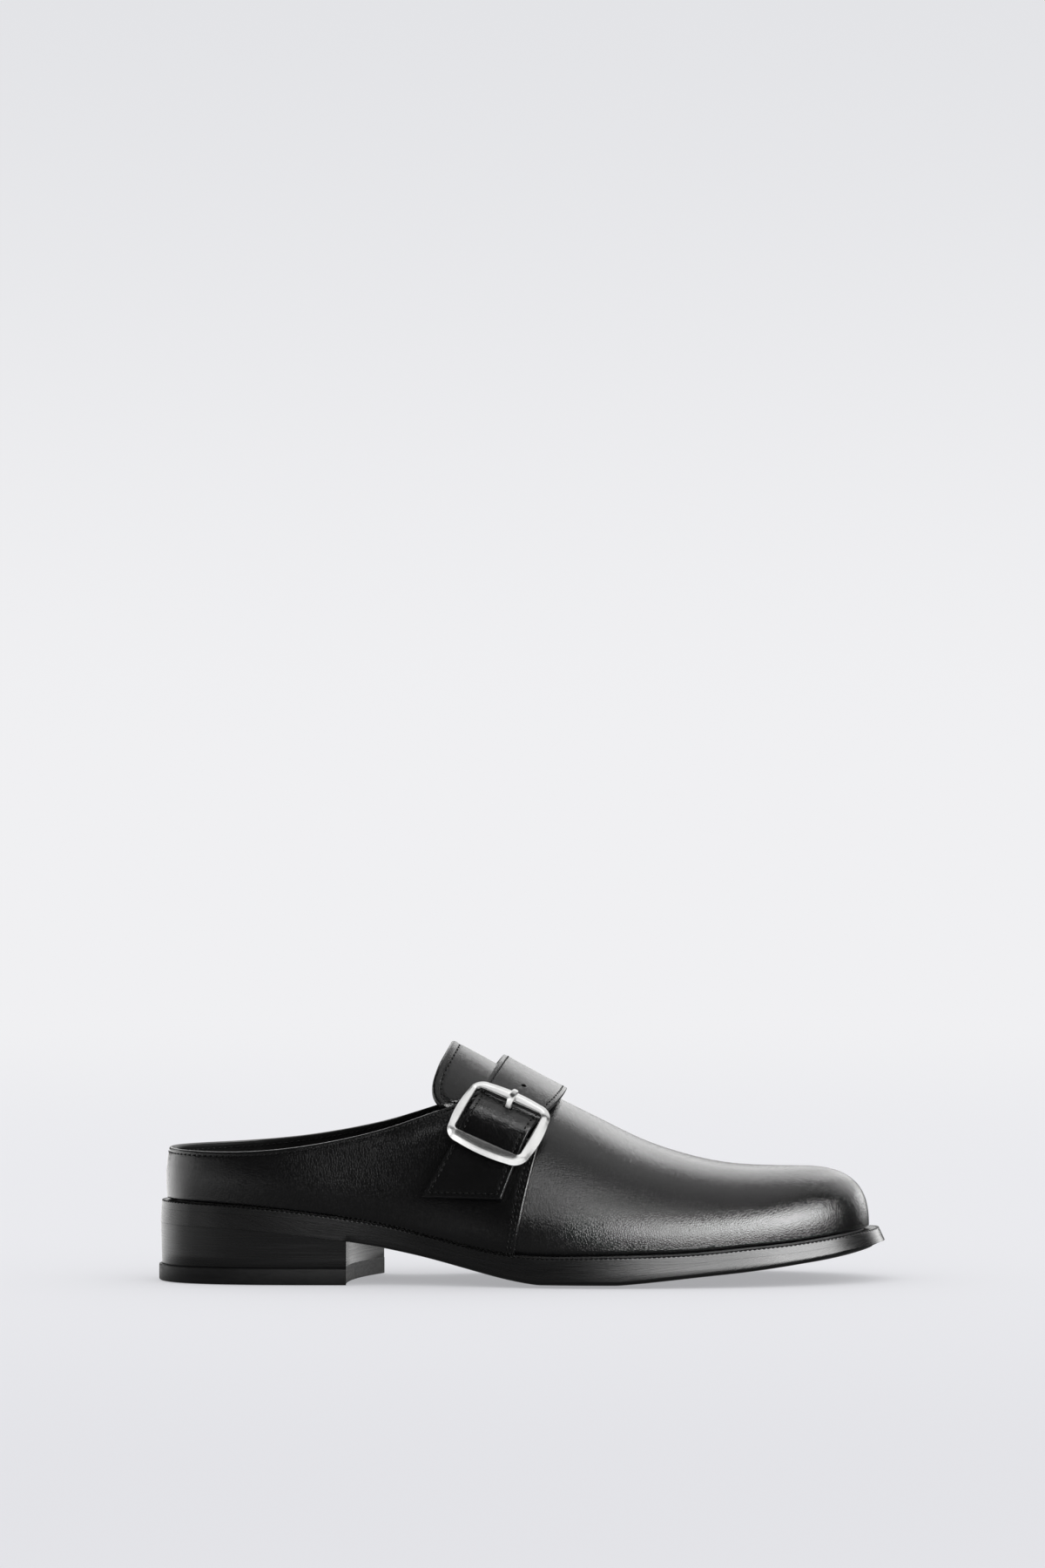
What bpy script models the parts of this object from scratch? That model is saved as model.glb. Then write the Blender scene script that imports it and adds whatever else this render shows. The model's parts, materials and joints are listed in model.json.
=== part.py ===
"""Buckle mule, right shoe: leather sole, welt, stacked heel, hollow upper, tongue, strap and buckle.

Heel at -X, toe at +X, outer side at -Y, inner side at +Y, floor at Z = 0. The shape is worked out in
millimetres from the heel and set into the scene in metres, centred on its footprint.
"""

import math

import bmesh
import bpy
import numpy as np

for old in list(bpy.data.objects):
    bpy.data.objects.remove(old)

MM = 0.001

# Sole and shell sizes, in millimetres
SOLE_LENGTH = 269.0
TOE_TIP_OFFSET = 3.0
FIT_GAP = 0.3
UPPER_GAP = 0.5
WELT_THICKNESS = 3.0
EDGE_CAMBER = 1.4
EDGE_CAMBER_WIDTH = 21.0
CAMBER_START = 85.0
CAMBER_RUN = 35.0
CAMBER_TAPER = 0.3
SOLE_TOP_BACK = 0.35
LEATHER = 1.8
QUARTER_RISE = 1.2
TONGUE_THICKNESS = 1.7
TONGUE_LAP = 4.0
TONGUE_DIP = 0.7
LAP_RISE = 1.7
LAP_FADE = 2.2
LAP_MARGIN = 3.4
LAP_START = 84.0
LAP_RUN = 12.0
INSOLE_RISE = 2.2
INSOLE_BEVEL = (1.0, 0.6)

# Heel sizes
LIFT_HEIGHT = 6.0
LIFT_OVERHANG = 0.6
BREAST_OUTER = 69.8
BREAST_INNER = 82.6
BREAST_HOLLOW = 4.0

# Strap and buckle sizes; the strap plane passes the instep ridge here and leans back as it goes down
STRAP_AT = (137.6, 73.4)
STRAP_LEAN = math.radians(29.5)
STRAP_THICKNESS = 2.4
STRAP_LAY = 2.3
STRAP_TIP_HEIGHT = 31.9
STRAP_TIP_SLANT = 0.9
STRAP_END_HEIGHT = 36.0
STRAP_LIFT = 2.6
STRAP_LIFT_REACH = 12.0
STRAP_ROUND = 0.35
TONGUE_BACK = -32.8
TONGUE_FRONT = 1.5
TONGUE_CORNER = 24.0
TONGUE_CORNER_RISE = 22.0
BUCKLE_LENGTH = 34.4
BUCKLE_HEIGHT = 29.2
BUCKLE_SIDE_BAR = 3.6
BUCKLE_TOP_BAR = 3.3
BUCKLE_BOTTOM_BAR = 4.8
BUCKLE_THICKNESS = 2.8
BUCKLE_SQUARENESS = 5.0
BUCKLE_SHIFT = 0.2
BUCKLE_V = 0.495
BUCKLE_STAND = 4.8
MIDDLE_BAR_RADIUS = 1.0
MIDDLE_BAR_STAND = 3.2
PRONG_WIDTH = 2.0
PRONG_THICKNESS = 1.2
PRONG_SLACK = 0.4
PRONG_TIP = 0.7

# How finely the faces are cut
RING_STEPS = 44
QUARTER_COLUMNS = 22
THROAT_COLUMNS = 4
VAMP_COLUMNS = 15
UPPER_ROWS = 14


def table(columns, rows):
    """A dictionary of arrays, one for each named column."""
    return dict(zip(columns, np.array(rows, dtype=float).T))


# Plan of the sole: distance from the heel, then reach to the outer and to the inner side
PLAN = table(
    ("from_heel", "outer", "inner"),
    (
        (0, 0, 0),
        (6, 17.8, 17.8),
        (20, 27.0, 27.0),
        (40, 31.0, 30.8),
        (70, 32.0, 29.0),
        (98, 34.5, 27.2),
        (125, 42.0, 33.6),
        (150, 47.4, 42.6),
        (175, 48.2, 47.6),
        (197, 46.0, 48.4),
        (218, 41.6, 45.6),
        (238, 34.6, 39.2),
        (254, 24.6, 29.8),
        (269, -TOE_TIP_OFFSET, TOE_TIP_OFFSET),
    ),
)

# Side view of the sole: underside, top of the welt, and how far welt and upper stand back from the edge
SOLE = table(
    ("from_heel", "tread", "ledge", "welt_back", "upper_back"),
    (
        (0, 21.4, 29.8, 0.8, 3.9),
        (24, 20.7, 29.0, 0.7, 3.4),
        (48, 18.7, 27.0, 0.6, 2.6),
        (70, 15.9, 24.1, 0.5, 2.3),
        (86, 13.1, 21.3, 0.5, 2.2),
        (98, 10.2, 18.4, 0.5, 2.2),
        (109, 7.0, 15.7, 0.5, 2.4),
        (125, 2.7, 12.2, 0.6, 2.9),
        (137, 0.4, 10.9, 0.7, 3.3),
        (153, -0.6, 10.8, 0.8, 3.5),
        (178, 0.7, 11.3, 0.9, 3.7),
        (201, 3.0, 12.3, 1.1, 3.8),
        (215, 4.3, 13.5, 1.3, 4.0),
        (234, 6.6, 15.1, 1.7, 4.4),
        (253, 9.6, 17.4, 2.2, 5.0),
        (269, 13.2, 19.6, 2.6, 5.4),
    ),
)

# Edge of the outsole from the tread up: how far back, its share of the camber, and its lift above that
SOLE_EDGE = table(("back", "camber", "lift"), ((4.0, 0.5, 0.0), (1.0, 0.75, 0.0), (0.2, 1.0, 0.5)))

# Outer edge of the welt: shares of its stand-back, with the depth below the ledge
WELT_EDGE = table(("share", "depth"), ((0.5, WELT_THICKNESS), (0.75, 0.9)))
WELT_BEVEL = 0.5

# Ridge of the upper along the instep: height and offset to the inner side
RIDGE = table(
    ("from_heel", "height", "offset"),
    (
        (34, 102.0, 0.5),
        (60, 103.5, 2.0),
        (85, 99.0, 4.0),
        (108.7, 88.6, 5.0),
        (124.2, 80.2, 5.2),
        (151.4, 65.4, 5.0),
        (163.1, 59.6, 4.8),
        (178.7, 52.0, 4.4),
        (194.2, 46.5, 4.0),
        (209.8, 43.0, 3.6),
        (224, 42.0, 3.3),
        (238, 42.0, 3.0),
    ),
)

# Sections of the upper: where each meets the ridge, and how far it bulges, stands and rounds over
SECTIONS = table(
    ("from_heel", "ridge_at", "bulge", "wall", "crown"),
    (
        (0, 34, 0.9, 0.62, 0.52),
        (30, 60, 1.2, 0.62, 0.54),
        (60, 85, 1.0, 0.61, 0.55),
        (100, 118, 0.9, 0.60, 0.57),
        (132, 143, 1.2, 0.58, 0.58),
        (165, 169, 1.6, 0.58, 0.58),
        (200, 197, 1.6, 0.60, 0.60),
        (235, 221, 1.0, 0.66, 0.66),
        (269, 238, 0.2, 0.71, 0.72),
    ),
)
BULGE_HEIGHT = 10.0
BULGE_SPREAD = 9.0

# Top line of the quarters in side view; past the ridge it only steers the lap over the tongue
COLLAR = table(
    ("from_heel", "outer", "inner"),
    (
        (0, 49.2, 49.2),
        (25, 48.5, 49.8),
        (48, 50.0, 51.4),
        (68, 53.3, 54.4),
        (88, 58.3, 59.0),
        (100, 62.2, 62.6),
        (112, 66.0, 66.4),
        (126, 70.3, 70.3),
        (138, 73.2, 73.2),
        (150, 75.4, 75.4),
        (170, 78.6, 78.6),
    ),
)

# Front edge of the quarters in side view
SEAM = table(
    ("height", "from_heel"),
    ((10, 131.2), (23, 133.6), (36, 136.5), (48, 139.7), (60, 143.2), (72, 146.4)),
)

# Edges of the strap across its plane, by its place on the section: 1 is the ridge, 0 the feather edge
STRAP = table(
    ("section", "rear_edge", "front_edge"),
    ((0.1, -13.8, 13.2), (0.3, -13.9, 10.4), (0.47, -14.0, 9.3), (0.62, -14.1, 10.4), (0.8, -13.9, 12.6),
     (1.0, -13.4, 13.4)),
)

# Section of the buckle's bar: share of the bar's width from its outer edge, and share of its thickness
BUCKLE_BAR = table(
    ("inward", "rise"),
    ((0, 0.18), (0, 0.4), (0.08, 0.7), (0.34, 1), (0.64, 1), (0.9, 0.7), (1, 0.42), (1, 0.1), (0.9, 0),
     (0.12, 0)),
)

# Middle line of the prong, and the slot that it passes in the strap, from the buckle's seat
PRONG_PATH = table(
    ("up_strap", "outward"),
    ((1.6, 2.9), (3.4, 2.7), (5.4, 2.6), (7.0, 3.2), (8.6, 4.9), (10.0, 7.1), (11.4, 8.5), (12.8, 8.8),
     (14.0, 8.5), (14.6, 8.0)),
)
PRONG_SLOT = table(("up_strap", "outward"), ((3.9, 1.9), (7.8, 1.9), (10.4, 5.9), (7.6, 5.9)))


def curve(knots, values, period=None):
    """Cubic through the table's points with even curvature, open and natural, or closed over a period."""
    knots, values = np.asarray(knots, dtype=float), np.asarray(values, dtype=float)
    if period:
        knots = np.concatenate([knots - period, knots, knots + period])
        values = np.concatenate([values] * 3)
    span = np.diff(knots)
    rise = np.diff(values) / span
    count = len(knots)
    system, right = np.eye(count), np.zeros(count)
    for i in range(1, count - 1):
        system[i, i - 1 : i + 2] = span[i - 1], 2 * (span[i - 1] + span[i]), span[i]
        right[i] = 6 * (rise[i] - rise[i - 1])
    bend = np.linalg.solve(system, right)

    def at(place):
        place = np.asarray(place, dtype=float)
        inside = np.clip(place, knots[0], knots[-1])
        i = np.clip(np.searchsorted(knots, inside) - 1, 0, count - 2)
        a, b, h = knots[i + 1] - inside, inside - knots[i], span[i]
        height = (bend[i] * a**3 + bend[i + 1] * b**3) / (6 * h)
        height += (values[i] / h - bend[i] * h / 6) * a + (values[i + 1] / h - bend[i + 1] * h / 6) * b
        slope = np.where(place < knots[0], rise[0] - bend[1] * span[0] / 6, rise[-1] + bend[-2] * span[-1] / 6)
        return height + slope * (place - inside)

    return at


def ring_angle(from_heel):
    """Angle round the plan, 0 at the heel and pi at the toe, for a distance from the heel."""
    return np.arccos(np.clip(1 - 2 * np.asarray(from_heel) / SOLE_LENGTH, -1, 1))


def plan_curve():
    angle = ring_angle(PLAN["from_heel"])
    angles = np.concatenate([angle, 2 * math.pi - angle[-2:0:-1]])
    reach = np.concatenate([-PLAN["outer"], PLAN["inner"][-2:0:-1]])
    return curve(angles, reach, 2 * math.pi)


plan_reach = plan_curve()
tread_curve = curve(SOLE["from_heel"], SOLE["tread"])
ledge = curve(SOLE["from_heel"], SOLE["ledge"])
welt_back = curve(SOLE["from_heel"], SOLE["welt_back"])
upper_back = curve(SOLE["from_heel"], SOLE["upper_back"])
ridge_height = curve(RIDGE["from_heel"], RIDGE["height"])
ridge_offset = curve(RIDGE["from_heel"], RIDGE["offset"])
ridge_at = curve(SECTIONS["from_heel"], SECTIONS["ridge_at"])
bulge = curve(SECTIONS["from_heel"], SECTIONS["bulge"])
wall_fullness = curve(SECTIONS["from_heel"], SECTIONS["wall"])
crown_fullness = curve(SECTIONS["from_heel"], SECTIONS["crown"])
collar_outer = curve(COLLAR["from_heel"], COLLAR["outer"])
collar_inner = curve(COLLAR["from_heel"], COLLAR["inner"])
seam = curve(SEAM["height"], SEAM["from_heel"])
strap_rear = curve(STRAP["section"], STRAP["rear_edge"])
strap_front = curve(STRAP["section"], STRAP["front_edge"])


def tread(from_heel):
    """Underside of the outsole along the middle, flat on the floor where the curve would dip below it."""
    return np.maximum(tread_curve(from_heel), 0)


def plan(angle, back=0.0):
    """Point on the sole's plan at an angle round it, moved back from the edge, with the outward direction."""
    angle = np.asarray(angle, dtype=float)
    step = 1e-4
    from_heel = SOLE_LENGTH / 2 * (1 - np.cos(angle))
    along = SOLE_LENGTH / 2 * np.sin(angle)
    ahead, behind = plan_reach((angle + step) % (2 * math.pi)), plan_reach((angle - step) % (2 * math.pi))
    across = (ahead - behind) / (2 * step)
    length = np.hypot(along, across)
    out = np.stack([across / length, -along / length], axis=-1)
    spot = np.stack([from_heel, plan_reach(angle % (2 * math.pi))], axis=-1)
    return spot - out * np.asarray(back)[..., None], out


def collar(spot):
    """Height of the top line above a point, on the point's own side."""
    return np.where(spot[..., 1] < 0, collar_outer(spot[..., 0]), collar_inner(spot[..., 0]))


def side_angle(side, u):
    """Angle round the plan for a side, -1 outer and 1 inner, and u from heel to toe."""
    return math.pi * u if side < 0 else 2 * math.pi - math.pi * u


def upper_face(angle, v):
    """Outer face of the vamp leather at an angle round the plan, v from the feather edge to the ridge."""
    angle, v = np.broadcast_arrays(np.asarray(angle, dtype=float), np.asarray(v, dtype=float))
    from_heel = SOLE_LENGTH / 2 * (1 - np.cos(angle))
    foot, out = plan(angle, upper_back(from_heel))
    base = ledge(foot[..., 0]) + UPPER_GAP
    top_at = ridge_at(from_heel)
    top = np.stack([top_at, ridge_offset(top_at)], axis=-1)
    wall, crown = wall_fullness(from_heel), crown_fullness(from_heel)
    rest = 1 - v
    reach = 3 * v**2 * rest * (1 - crown) + v**3
    rise = 3 * v * rest**2 * wall + 3 * v**2 * rest + v**3
    z = base + (ridge_height(top_at) - base) * rise
    swell = bulge(from_heel) * np.exp(-(((z - base - BULGE_HEIGHT) / BULGE_SPREAD) ** 2))
    xy = foot + (top - foot) * reach[..., None] + out * swell[..., None]
    return np.concatenate([xy, z[..., None]], axis=-1)


def upper_normal(angle, v):
    """Outward direction of the upper's face."""
    angle, v = np.broadcast_arrays(np.asarray(angle, dtype=float), np.asarray(v, dtype=float))
    v = np.clip(v, 0.004, 0.994)
    step = 2e-3
    round_about = upper_face(angle + step, v) - upper_face(angle - step, v)
    upward = upper_face(angle, v + step) - upper_face(angle, v - step)
    normal = np.cross(round_about, upward)
    return normal / np.linalg.norm(normal, axis=-1, keepdims=True)


def solve(measure, low, high):
    """Where a rising measure passes zero between two bounds."""
    low, high = np.array(low, dtype=float), np.array(high, dtype=float)
    for _ in range(40):
        middle = (low + high) / 2
        below = measure(middle) < 0
        low, high = np.where(below, middle, low), np.where(below, high, middle)
    return (low + high) / 2


def smooth_step(value):
    value = np.clip(value, 0, 1)
    return value * value * (3 - 2 * value)


def add_solid(name, points, faces, material):
    """One closed body from points in millimetres, its faces turned outward."""
    work = bmesh.new()
    corners = [work.verts.new([float(value) * MM for value in point]) for point in points]
    for face in faces:
        work.faces.new([corners[i] for i in face])
    bmesh.ops.remove_doubles(work, verts=work.verts, dist=0.004 * MM)
    bmesh.ops.recalc_face_normals(work, faces=work.faces)
    mesh = bpy.data.meshes.new(name)
    work.to_mesh(mesh)
    work.free()
    piece = bpy.data.objects.new(name, mesh)
    piece.data.materials.append(material)
    bpy.context.scene.collection.objects.link(piece)
    return piece


def add_material(name, colour, roughness, metallic=0.0):
    material = bpy.data.materials.new(name)
    material.use_nodes = True
    shader = material.node_tree.nodes["Principled BSDF"]
    shader.inputs["Base Color"].default_value = (*colour, 1)
    shader.inputs["Roughness"].default_value = roughness
    shader.inputs["Metallic"].default_value = metallic
    return material


def grid_faces(rows, columns, first, turned=False):
    """Quads over a grid of points numbered row by row from first."""
    faces = []
    for r in range(rows - 1):
        for c in range(columns - 1):
            a = first + r * columns + c
            quad = (a, a + 1, a + columns + 1, a + columns)
            faces.append(quad[::-1] if turned else quad)
    return faces


def sheet(name, outer, inner, material):
    """A thick sheet between two matching grids of points, closed all round its edge."""
    rows, columns = outer.shape[:2]
    points = np.concatenate([outer.reshape(-1, 3), inner.reshape(-1, 3)])
    back = rows * columns
    faces = grid_faces(rows, columns, 0) + grid_faces(rows, columns, back, True)
    rim = [(0, c) for c in range(columns)] + [(r, columns - 1) for r in range(1, rows)]
    rim += [(rows - 1, c) for c in range(columns - 2, -1, -1)] + [(r, 0) for r in range(rows - 2, 0, -1)]
    order = [r * columns + c for r, c in rim]
    for a, b in zip(order, order[1:] + order[:1]):
        faces.append((b, a, back + a, back + b))
    return add_solid(name, points, faces, material)


def ring_sweep(name, loops, material, capped=False):
    """Loops of points joined one to the next, closed on themselves or capped at both ends."""
    count = len(loops[0])
    points = np.concatenate(loops)
    faces = []
    pairs = list(zip(range(len(loops) - 1), range(1, len(loops))))
    if not capped:
        pairs.append((len(loops) - 1, 0))
    for lower, upper in pairs:
        for i in range(count):
            j = (i + 1) % count
            faces.append((lower * count + i, lower * count + j, upper * count + j, upper * count + i))
    if capped:
        last = (len(loops) - 1) * count
        faces.append(tuple(range(count))[::-1])
        faces.append(tuple(range(last, last + count)))
    return add_solid(name, points, faces, material)


def ring_angles(steps):
    """Angles round the plan, matched on the two sides, with one each at the heel and the toe."""
    u = np.linspace(0, 1, steps + 1)
    return np.concatenate([math.pi * u, (2 * math.pi - math.pi * u)[-2:0:-1]])


def plate(name, levels, material, steps=RING_STEPS):
    """A slab over the plan: loops of (how far back, height) from the underside up, closed by cross strips."""
    angles = ring_angles(steps)
    from_heel = SOLE_LENGTH / 2 * (1 - np.cos(angles))
    loops = []
    for back, height in levels:
        spot, _ = plan(angles, back(from_heel))
        loops.append(np.column_stack([spot, height(spot[:, 0])]))
    count = len(angles)
    faces = []
    for level in range(len(loops) - 1):
        for i in range(count):
            j = (i + 1) % count
            a, b = level * count, (level + 1) * count
            faces.append((a + i, a + j, b + j, b + i))
    top = (len(loops) - 1) * count
    for i in range(steps):
        near, far = (i, i + 1), ((count - i) % count, (count - i - 1) % count)
        faces.append((near[0], far[0], far[1], near[1]))
        faces.append((top + near[0], top + near[1], top + far[1], top + far[0]))
    faces = [tuple(dict.fromkeys(face)) for face in faces]
    return add_solid(name, np.concatenate(loops), faces, material)


# Materials
sole_leather = add_material("sole_leather", (0.012, 0.011, 0.011), 0.5)
welt_leather = add_material("welt_leather", (0.011, 0.010, 0.010), 0.45)
heel_leather = add_material("heel_leather", (0.013, 0.012, 0.012), 0.4)
lift_rubber = add_material("lift_rubber", (0.016, 0.016, 0.016), 0.7)
bed_leather = add_material("bed_leather", (0.012, 0.012, 0.012), 0.6)
upper_leather = add_material("upper_leather", (0.010, 0.010, 0.010), 0.35)
tongue_leather = add_material("tongue_leather", (0.010, 0.010, 0.010), 0.36)
strap_leather = add_material("strap_leather", (0.010, 0.010, 0.010), 0.33)
frame_metal = add_material("frame_metal", (0.70, 0.70, 0.69), 0.28, 1.0)
prong_metal = add_material("prong_metal", (0.72, 0.72, 0.71), 0.25, 1.0)


def sole_top(from_heel):
    return ledge(from_heel) - WELT_THICKNESS - FIT_GAP


def add_outsole():
    def camber(from_heel):
        return EDGE_CAMBER * smooth_step((from_heel - CAMBER_START) / CAMBER_RUN)

    def flat_back(from_heel):
        end = np.minimum(from_heel, SOLE_LENGTH - from_heel)
        return np.minimum(EDGE_CAMBER_WIDTH, SOLE_EDGE["back"][0] + CAMBER_TAPER * end)

    levels = [(flat_back, tread)]
    for back, share, lift in zip(SOLE_EDGE["back"], SOLE_EDGE["camber"], SOLE_EDGE["lift"]):
        levels.append(
            (
                lambda x, back=back: np.full_like(x, back),
                lambda x, share=share, lift=lift: tread(x) + share * camber(x) + lift,
            )
        )
    levels.append((lambda x: welt_back(x) * SOLE_TOP_BACK, sole_top))
    return plate("outsole", levels, sole_leather)


def add_welt():
    """A strip all round, its inner edge just outside the insole."""
    angles = ring_angles(RING_STEPS)
    from_heel = SOLE_LENGTH / 2 * (1 - np.cos(angles))
    edge, inside = welt_back(from_heel), upper_back(from_heel) + LEATHER + FIT_GAP
    section = [(inside, WELT_THICKNESS)]
    section += [(edge * share, depth) for share, depth in zip(WELT_EDGE["share"], WELT_EDGE["depth"])]
    section += [(edge + WELT_BEVEL, 0), (inside, 0)]
    loops = []
    for back, below in section:
        spot, _ = plan(angles, back)
        loops.append(np.column_stack([spot, ledge(spot[:, 0]) - below]))
    return ring_sweep("welt", loops, welt_leather)


def add_insole():
    def back(x):
        return upper_back(x) + LEATHER + 2 * FIT_GAP

    return plate(
        "insole",
        (
            (back, lambda x: sole_top(x) + FIT_GAP),
            (back, lambda x: ledge(x) + INSOLE_RISE - INSOLE_BEVEL[1]),
            (lambda x: back(x) + INSOLE_BEVEL[0], lambda x: ledge(x) + INSOLE_RISE),
        ),
        bed_leather,
    )


def heel_loops(levels):
    """Plan of the heel up to its hollow slanted breast, at several levels of (reach beyond, height)."""
    across, along = 7, 14
    f = 1 - np.cos(np.linspace(0, math.pi / 2, along + 1))
    grids = []
    for back, height in levels:
        outer, _ = plan(ring_angle(f * BREAST_OUTER), np.full_like(f, back))
        inner, _ = plan(2 * math.pi - ring_angle(f * BREAST_INNER), np.full_like(f, back))
        c = np.linspace(0, 1, across + 1)
        spot = outer[:, None, :] + (inner - outer)[:, None, :] * c[None, :, None]
        spot[..., 0] -= BREAST_HOLLOW * 4 * (c * (1 - c))[None, :] * f[:, None] ** 2
        grids.append(np.concatenate([spot, height(spot[..., 0])[..., None]], axis=-1))
    return grids


def add_heel():
    def seat(x):
        return tread(x) - FIT_GAP

    low, high = heel_loops(((0.7, lambda x: np.full_like(x, LIFT_HEIGHT + FIT_GAP)), (0.5, seat)))
    return sheet("heel", high[1:], low[1:], heel_leather)


def add_top_lift():
    low, high = heel_loops(
        ((-LIFT_OVERHANG, lambda x: np.zeros_like(x)), (-LIFT_OVERHANG, lambda x: np.full_like(x, LIFT_HEIGHT)))
    )
    return sheet("top_lift", high[1:], low[1:], lift_rubber)


def seam_u(side, v):
    """Place from heel to toe where the quarter's front edge crosses height v of the sections."""

    def measure(u):
        spot = upper_face(side_angle(side, u), v)
        return spot[..., 0] - seam(spot[..., 2])

    return solve(measure, np.full_like(v, 0.25), np.full_like(v, 0.8))


def throat_share():
    """Share of the quarter's columns, along the ridge, behind the point where the top line meets the ridge."""

    def measure(u):
        spot = upper_face(math.pi * u, 1.0)
        return collar(spot) - spot[..., 2]

    return float(solve(measure, 0.2, 0.7) / seam_u(-1, np.array(1.0)))


def rim_v(side, share):
    """Height on the sections at which the quarter's top line cuts a column, 1 where the ridge is lower."""

    def measure(v):
        spot = upper_face(side_angle(side, share * seam_u(side, v)), v)
        return spot[..., 2] - collar(spot)

    return solve(measure, np.zeros_like(share), np.ones_like(share))


def lap_weight(spot):
    """1 where the upper's wall lies over the tongue, fading out below it and behind it."""
    depth = collar(spot) - spot[..., 2]
    over = smooth_step((TONGUE_LAP + LAP_MARGIN - depth) / LAP_FADE)
    return over * smooth_step((spot[..., 0] - LAP_START) / LAP_RUN)


def add_upper():
    """Vamp and quarters as one wall: a ring of columns, each from the feather edge to the top line or ridge."""
    throat = throat_share()
    behind = throat * (1 - np.linspace(1, 0, QUARTER_COLUMNS + 1) ** 1.6)
    between = np.linspace(throat, 1, THROAT_COLUMNS + 1)[1:]
    shares = np.concatenate([behind, between])
    gains = np.linspace(0, 1, UPPER_ROWS + 1)
    halves = []
    for side in (-1, 1):
        rim = rim_v(side, shares)
        rim[QUARTER_COLUMNS:] = 1
        columns = []
        for share, top in zip(shares, rim):
            v = np.interp(gains, (0, 0.5, 1), (0, min(0.5, 0.55 * top), top))
            columns.append((share * seam_u(side, v), v, True))
        for share in np.linspace(0, 1, VAMP_COLUMNS + 1):
            v = gains
            start = seam_u(side, v)
            spread = share if share else 0.0015
            columns.append((start + (1 - start) * spread, v, False))
        halves.append((side, columns))
    outer, inner = [], []
    for side, columns in halves:
        order = columns if side < 0 else columns[-2:0:-1]
        for u, v, quarter in order:
            angle = side_angle(side, u)
            spot, normal = upper_face(angle, v), upper_normal(angle, v)
            lap = lap_weight(spot)
            rise = QUARTER_RISE + (LAP_RISE - QUARTER_RISE) * lap if quarter else np.zeros_like(lap)
            sink = -LEATHER + (LEATHER + FIT_GAP) * lap
            outer.append(spot + normal * rise[:, None])
            inner.append(spot + normal * sink[:, None])
    rows, count = UPPER_ROWS + 1, len(outer)
    points = np.concatenate([np.concatenate(outer), np.concatenate(inner)])
    back = rows * count
    half = len(halves[0][1])
    faces = []
    for i in range(count):
        j = (i + 1) % count
        for r in range(UPPER_ROWS):
            a, b = i * rows + r, j * rows + r
            faces.append((a, b, b + 1, a + 1))
            faces.append((back + a, back + a + 1, back + b + 1, back + b))
        faces.append((i * rows, back + i * rows, back + j * rows, j * rows))
        if i < QUARTER_COLUMNS or i >= count - QUARTER_COLUMNS:
            a, b = i * rows + UPPER_ROWS, j * rows + UPPER_ROWS
            faces.append((a, b, back + b, back + a))
    for i in range(QUARTER_COLUMNS, half - 1):
        mirror = count - i
        for shift in (0, back):
            points[shift + mirror * rows + UPPER_ROWS] = points[shift + i * rows + UPPER_ROWS]
    return add_solid("upper", points, faces, upper_leather)


# Strap plane: forward along the instep, up from it, and the outer side
strap_forward = np.array((math.cos(STRAP_LEAN), 0.0, -math.sin(STRAP_LEAN)))
strap_origin = np.array((STRAP_AT[0], 0.0, STRAP_AT[1]))


def band_u(side, v, across):
    """Place from heel to toe where a band lying across the instep passes height v, at a distance across it."""

    def measure(u):
        return (upper_face(side_angle(side, u), v) - strap_origin) @ strap_forward - across

    return solve(measure, np.full_like(v, 0.03), np.full_like(v, 0.85))


def band_end(side, across, reached):
    """Height v at which a line of the band, at a distance across it, has come down to its end."""
    v = np.linspace(0.02, 0.98, 240)
    left = reached(upper_face(side_angle(side, band_u(side, v, across(v))), v))
    last = int(np.nonzero(left < 0)[0][-1])
    share = left[last] / (left[last] - left[last + 1])
    return v[last] + (v[last + 1] - v[last]) * share


def band_line(across, ends, count):
    """Evenly spaced points of a band from its outer end over the ridge to its inner end."""
    signed = np.concatenate([np.linspace(ends[0] - 1, 0, 120), np.linspace(0, 1 - ends[1], 120)[1:]])
    spots, _ = band_points(across, signed)
    length = np.concatenate([[0], np.cumsum(np.linalg.norm(np.diff(spots, axis=0), axis=1))])
    place = np.interp(np.linspace(0, length[-1], count), length, signed)
    return *band_points(across, place), place


def band_points(across, signed):
    """Points and outward directions of a band, by place: under 0 on the outer side, 0 on the ridge."""
    v = 1 - np.abs(signed)
    angle = np.where(
        signed <= 0, side_angle(-1, band_u(-1, v, across(v))), side_angle(1, band_u(1, v, across(v)))
    )
    return upper_face(angle, v), upper_normal(angle, v)


def strap_lay(points, place, centre):
    """How far the strap's underside lies off the vamp: it rises over the buckle's middle bar."""
    near = np.linalg.norm(points - centre, axis=-1)
    lift = STRAP_LIFT * smooth_step(1 - near / STRAP_LIFT_REACH) * (place < 0)
    return STRAP_LAY + lift


def strap_edge(share):
    return lambda v: strap_rear(v) + (strap_front(v) - strap_rear(v)) * share


def add_strap():
    rows = 46
    shares = (0, 0.04, 0.35, 0.65, 0.96, 1)
    outer, inner = [], []
    for share in shares:
        across = strap_edge(share)
        ends = [
            band_end(side, across, lambda spot, z=height: spot[..., 2] - z)
            for side, height in ((-1, STRAP_TIP_HEIGHT - STRAP_TIP_SLANT * share), (1, STRAP_END_HEIGHT))
        ]
        points, normals, place = band_line(across, ends, rows)
        centre, _ = buckle_seat(across)
        lay = strap_lay(points, place, centre)
        round_edge = STRAP_ROUND if share in (0, 1) else 0.0
        inner.append(points + normals * (lay + round_edge)[:, None])
        outer.append(points + normals * (lay + STRAP_THICKNESS - round_edge)[:, None])
    return sheet("strap", np.array(outer), np.array(inner), strap_leather)


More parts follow.
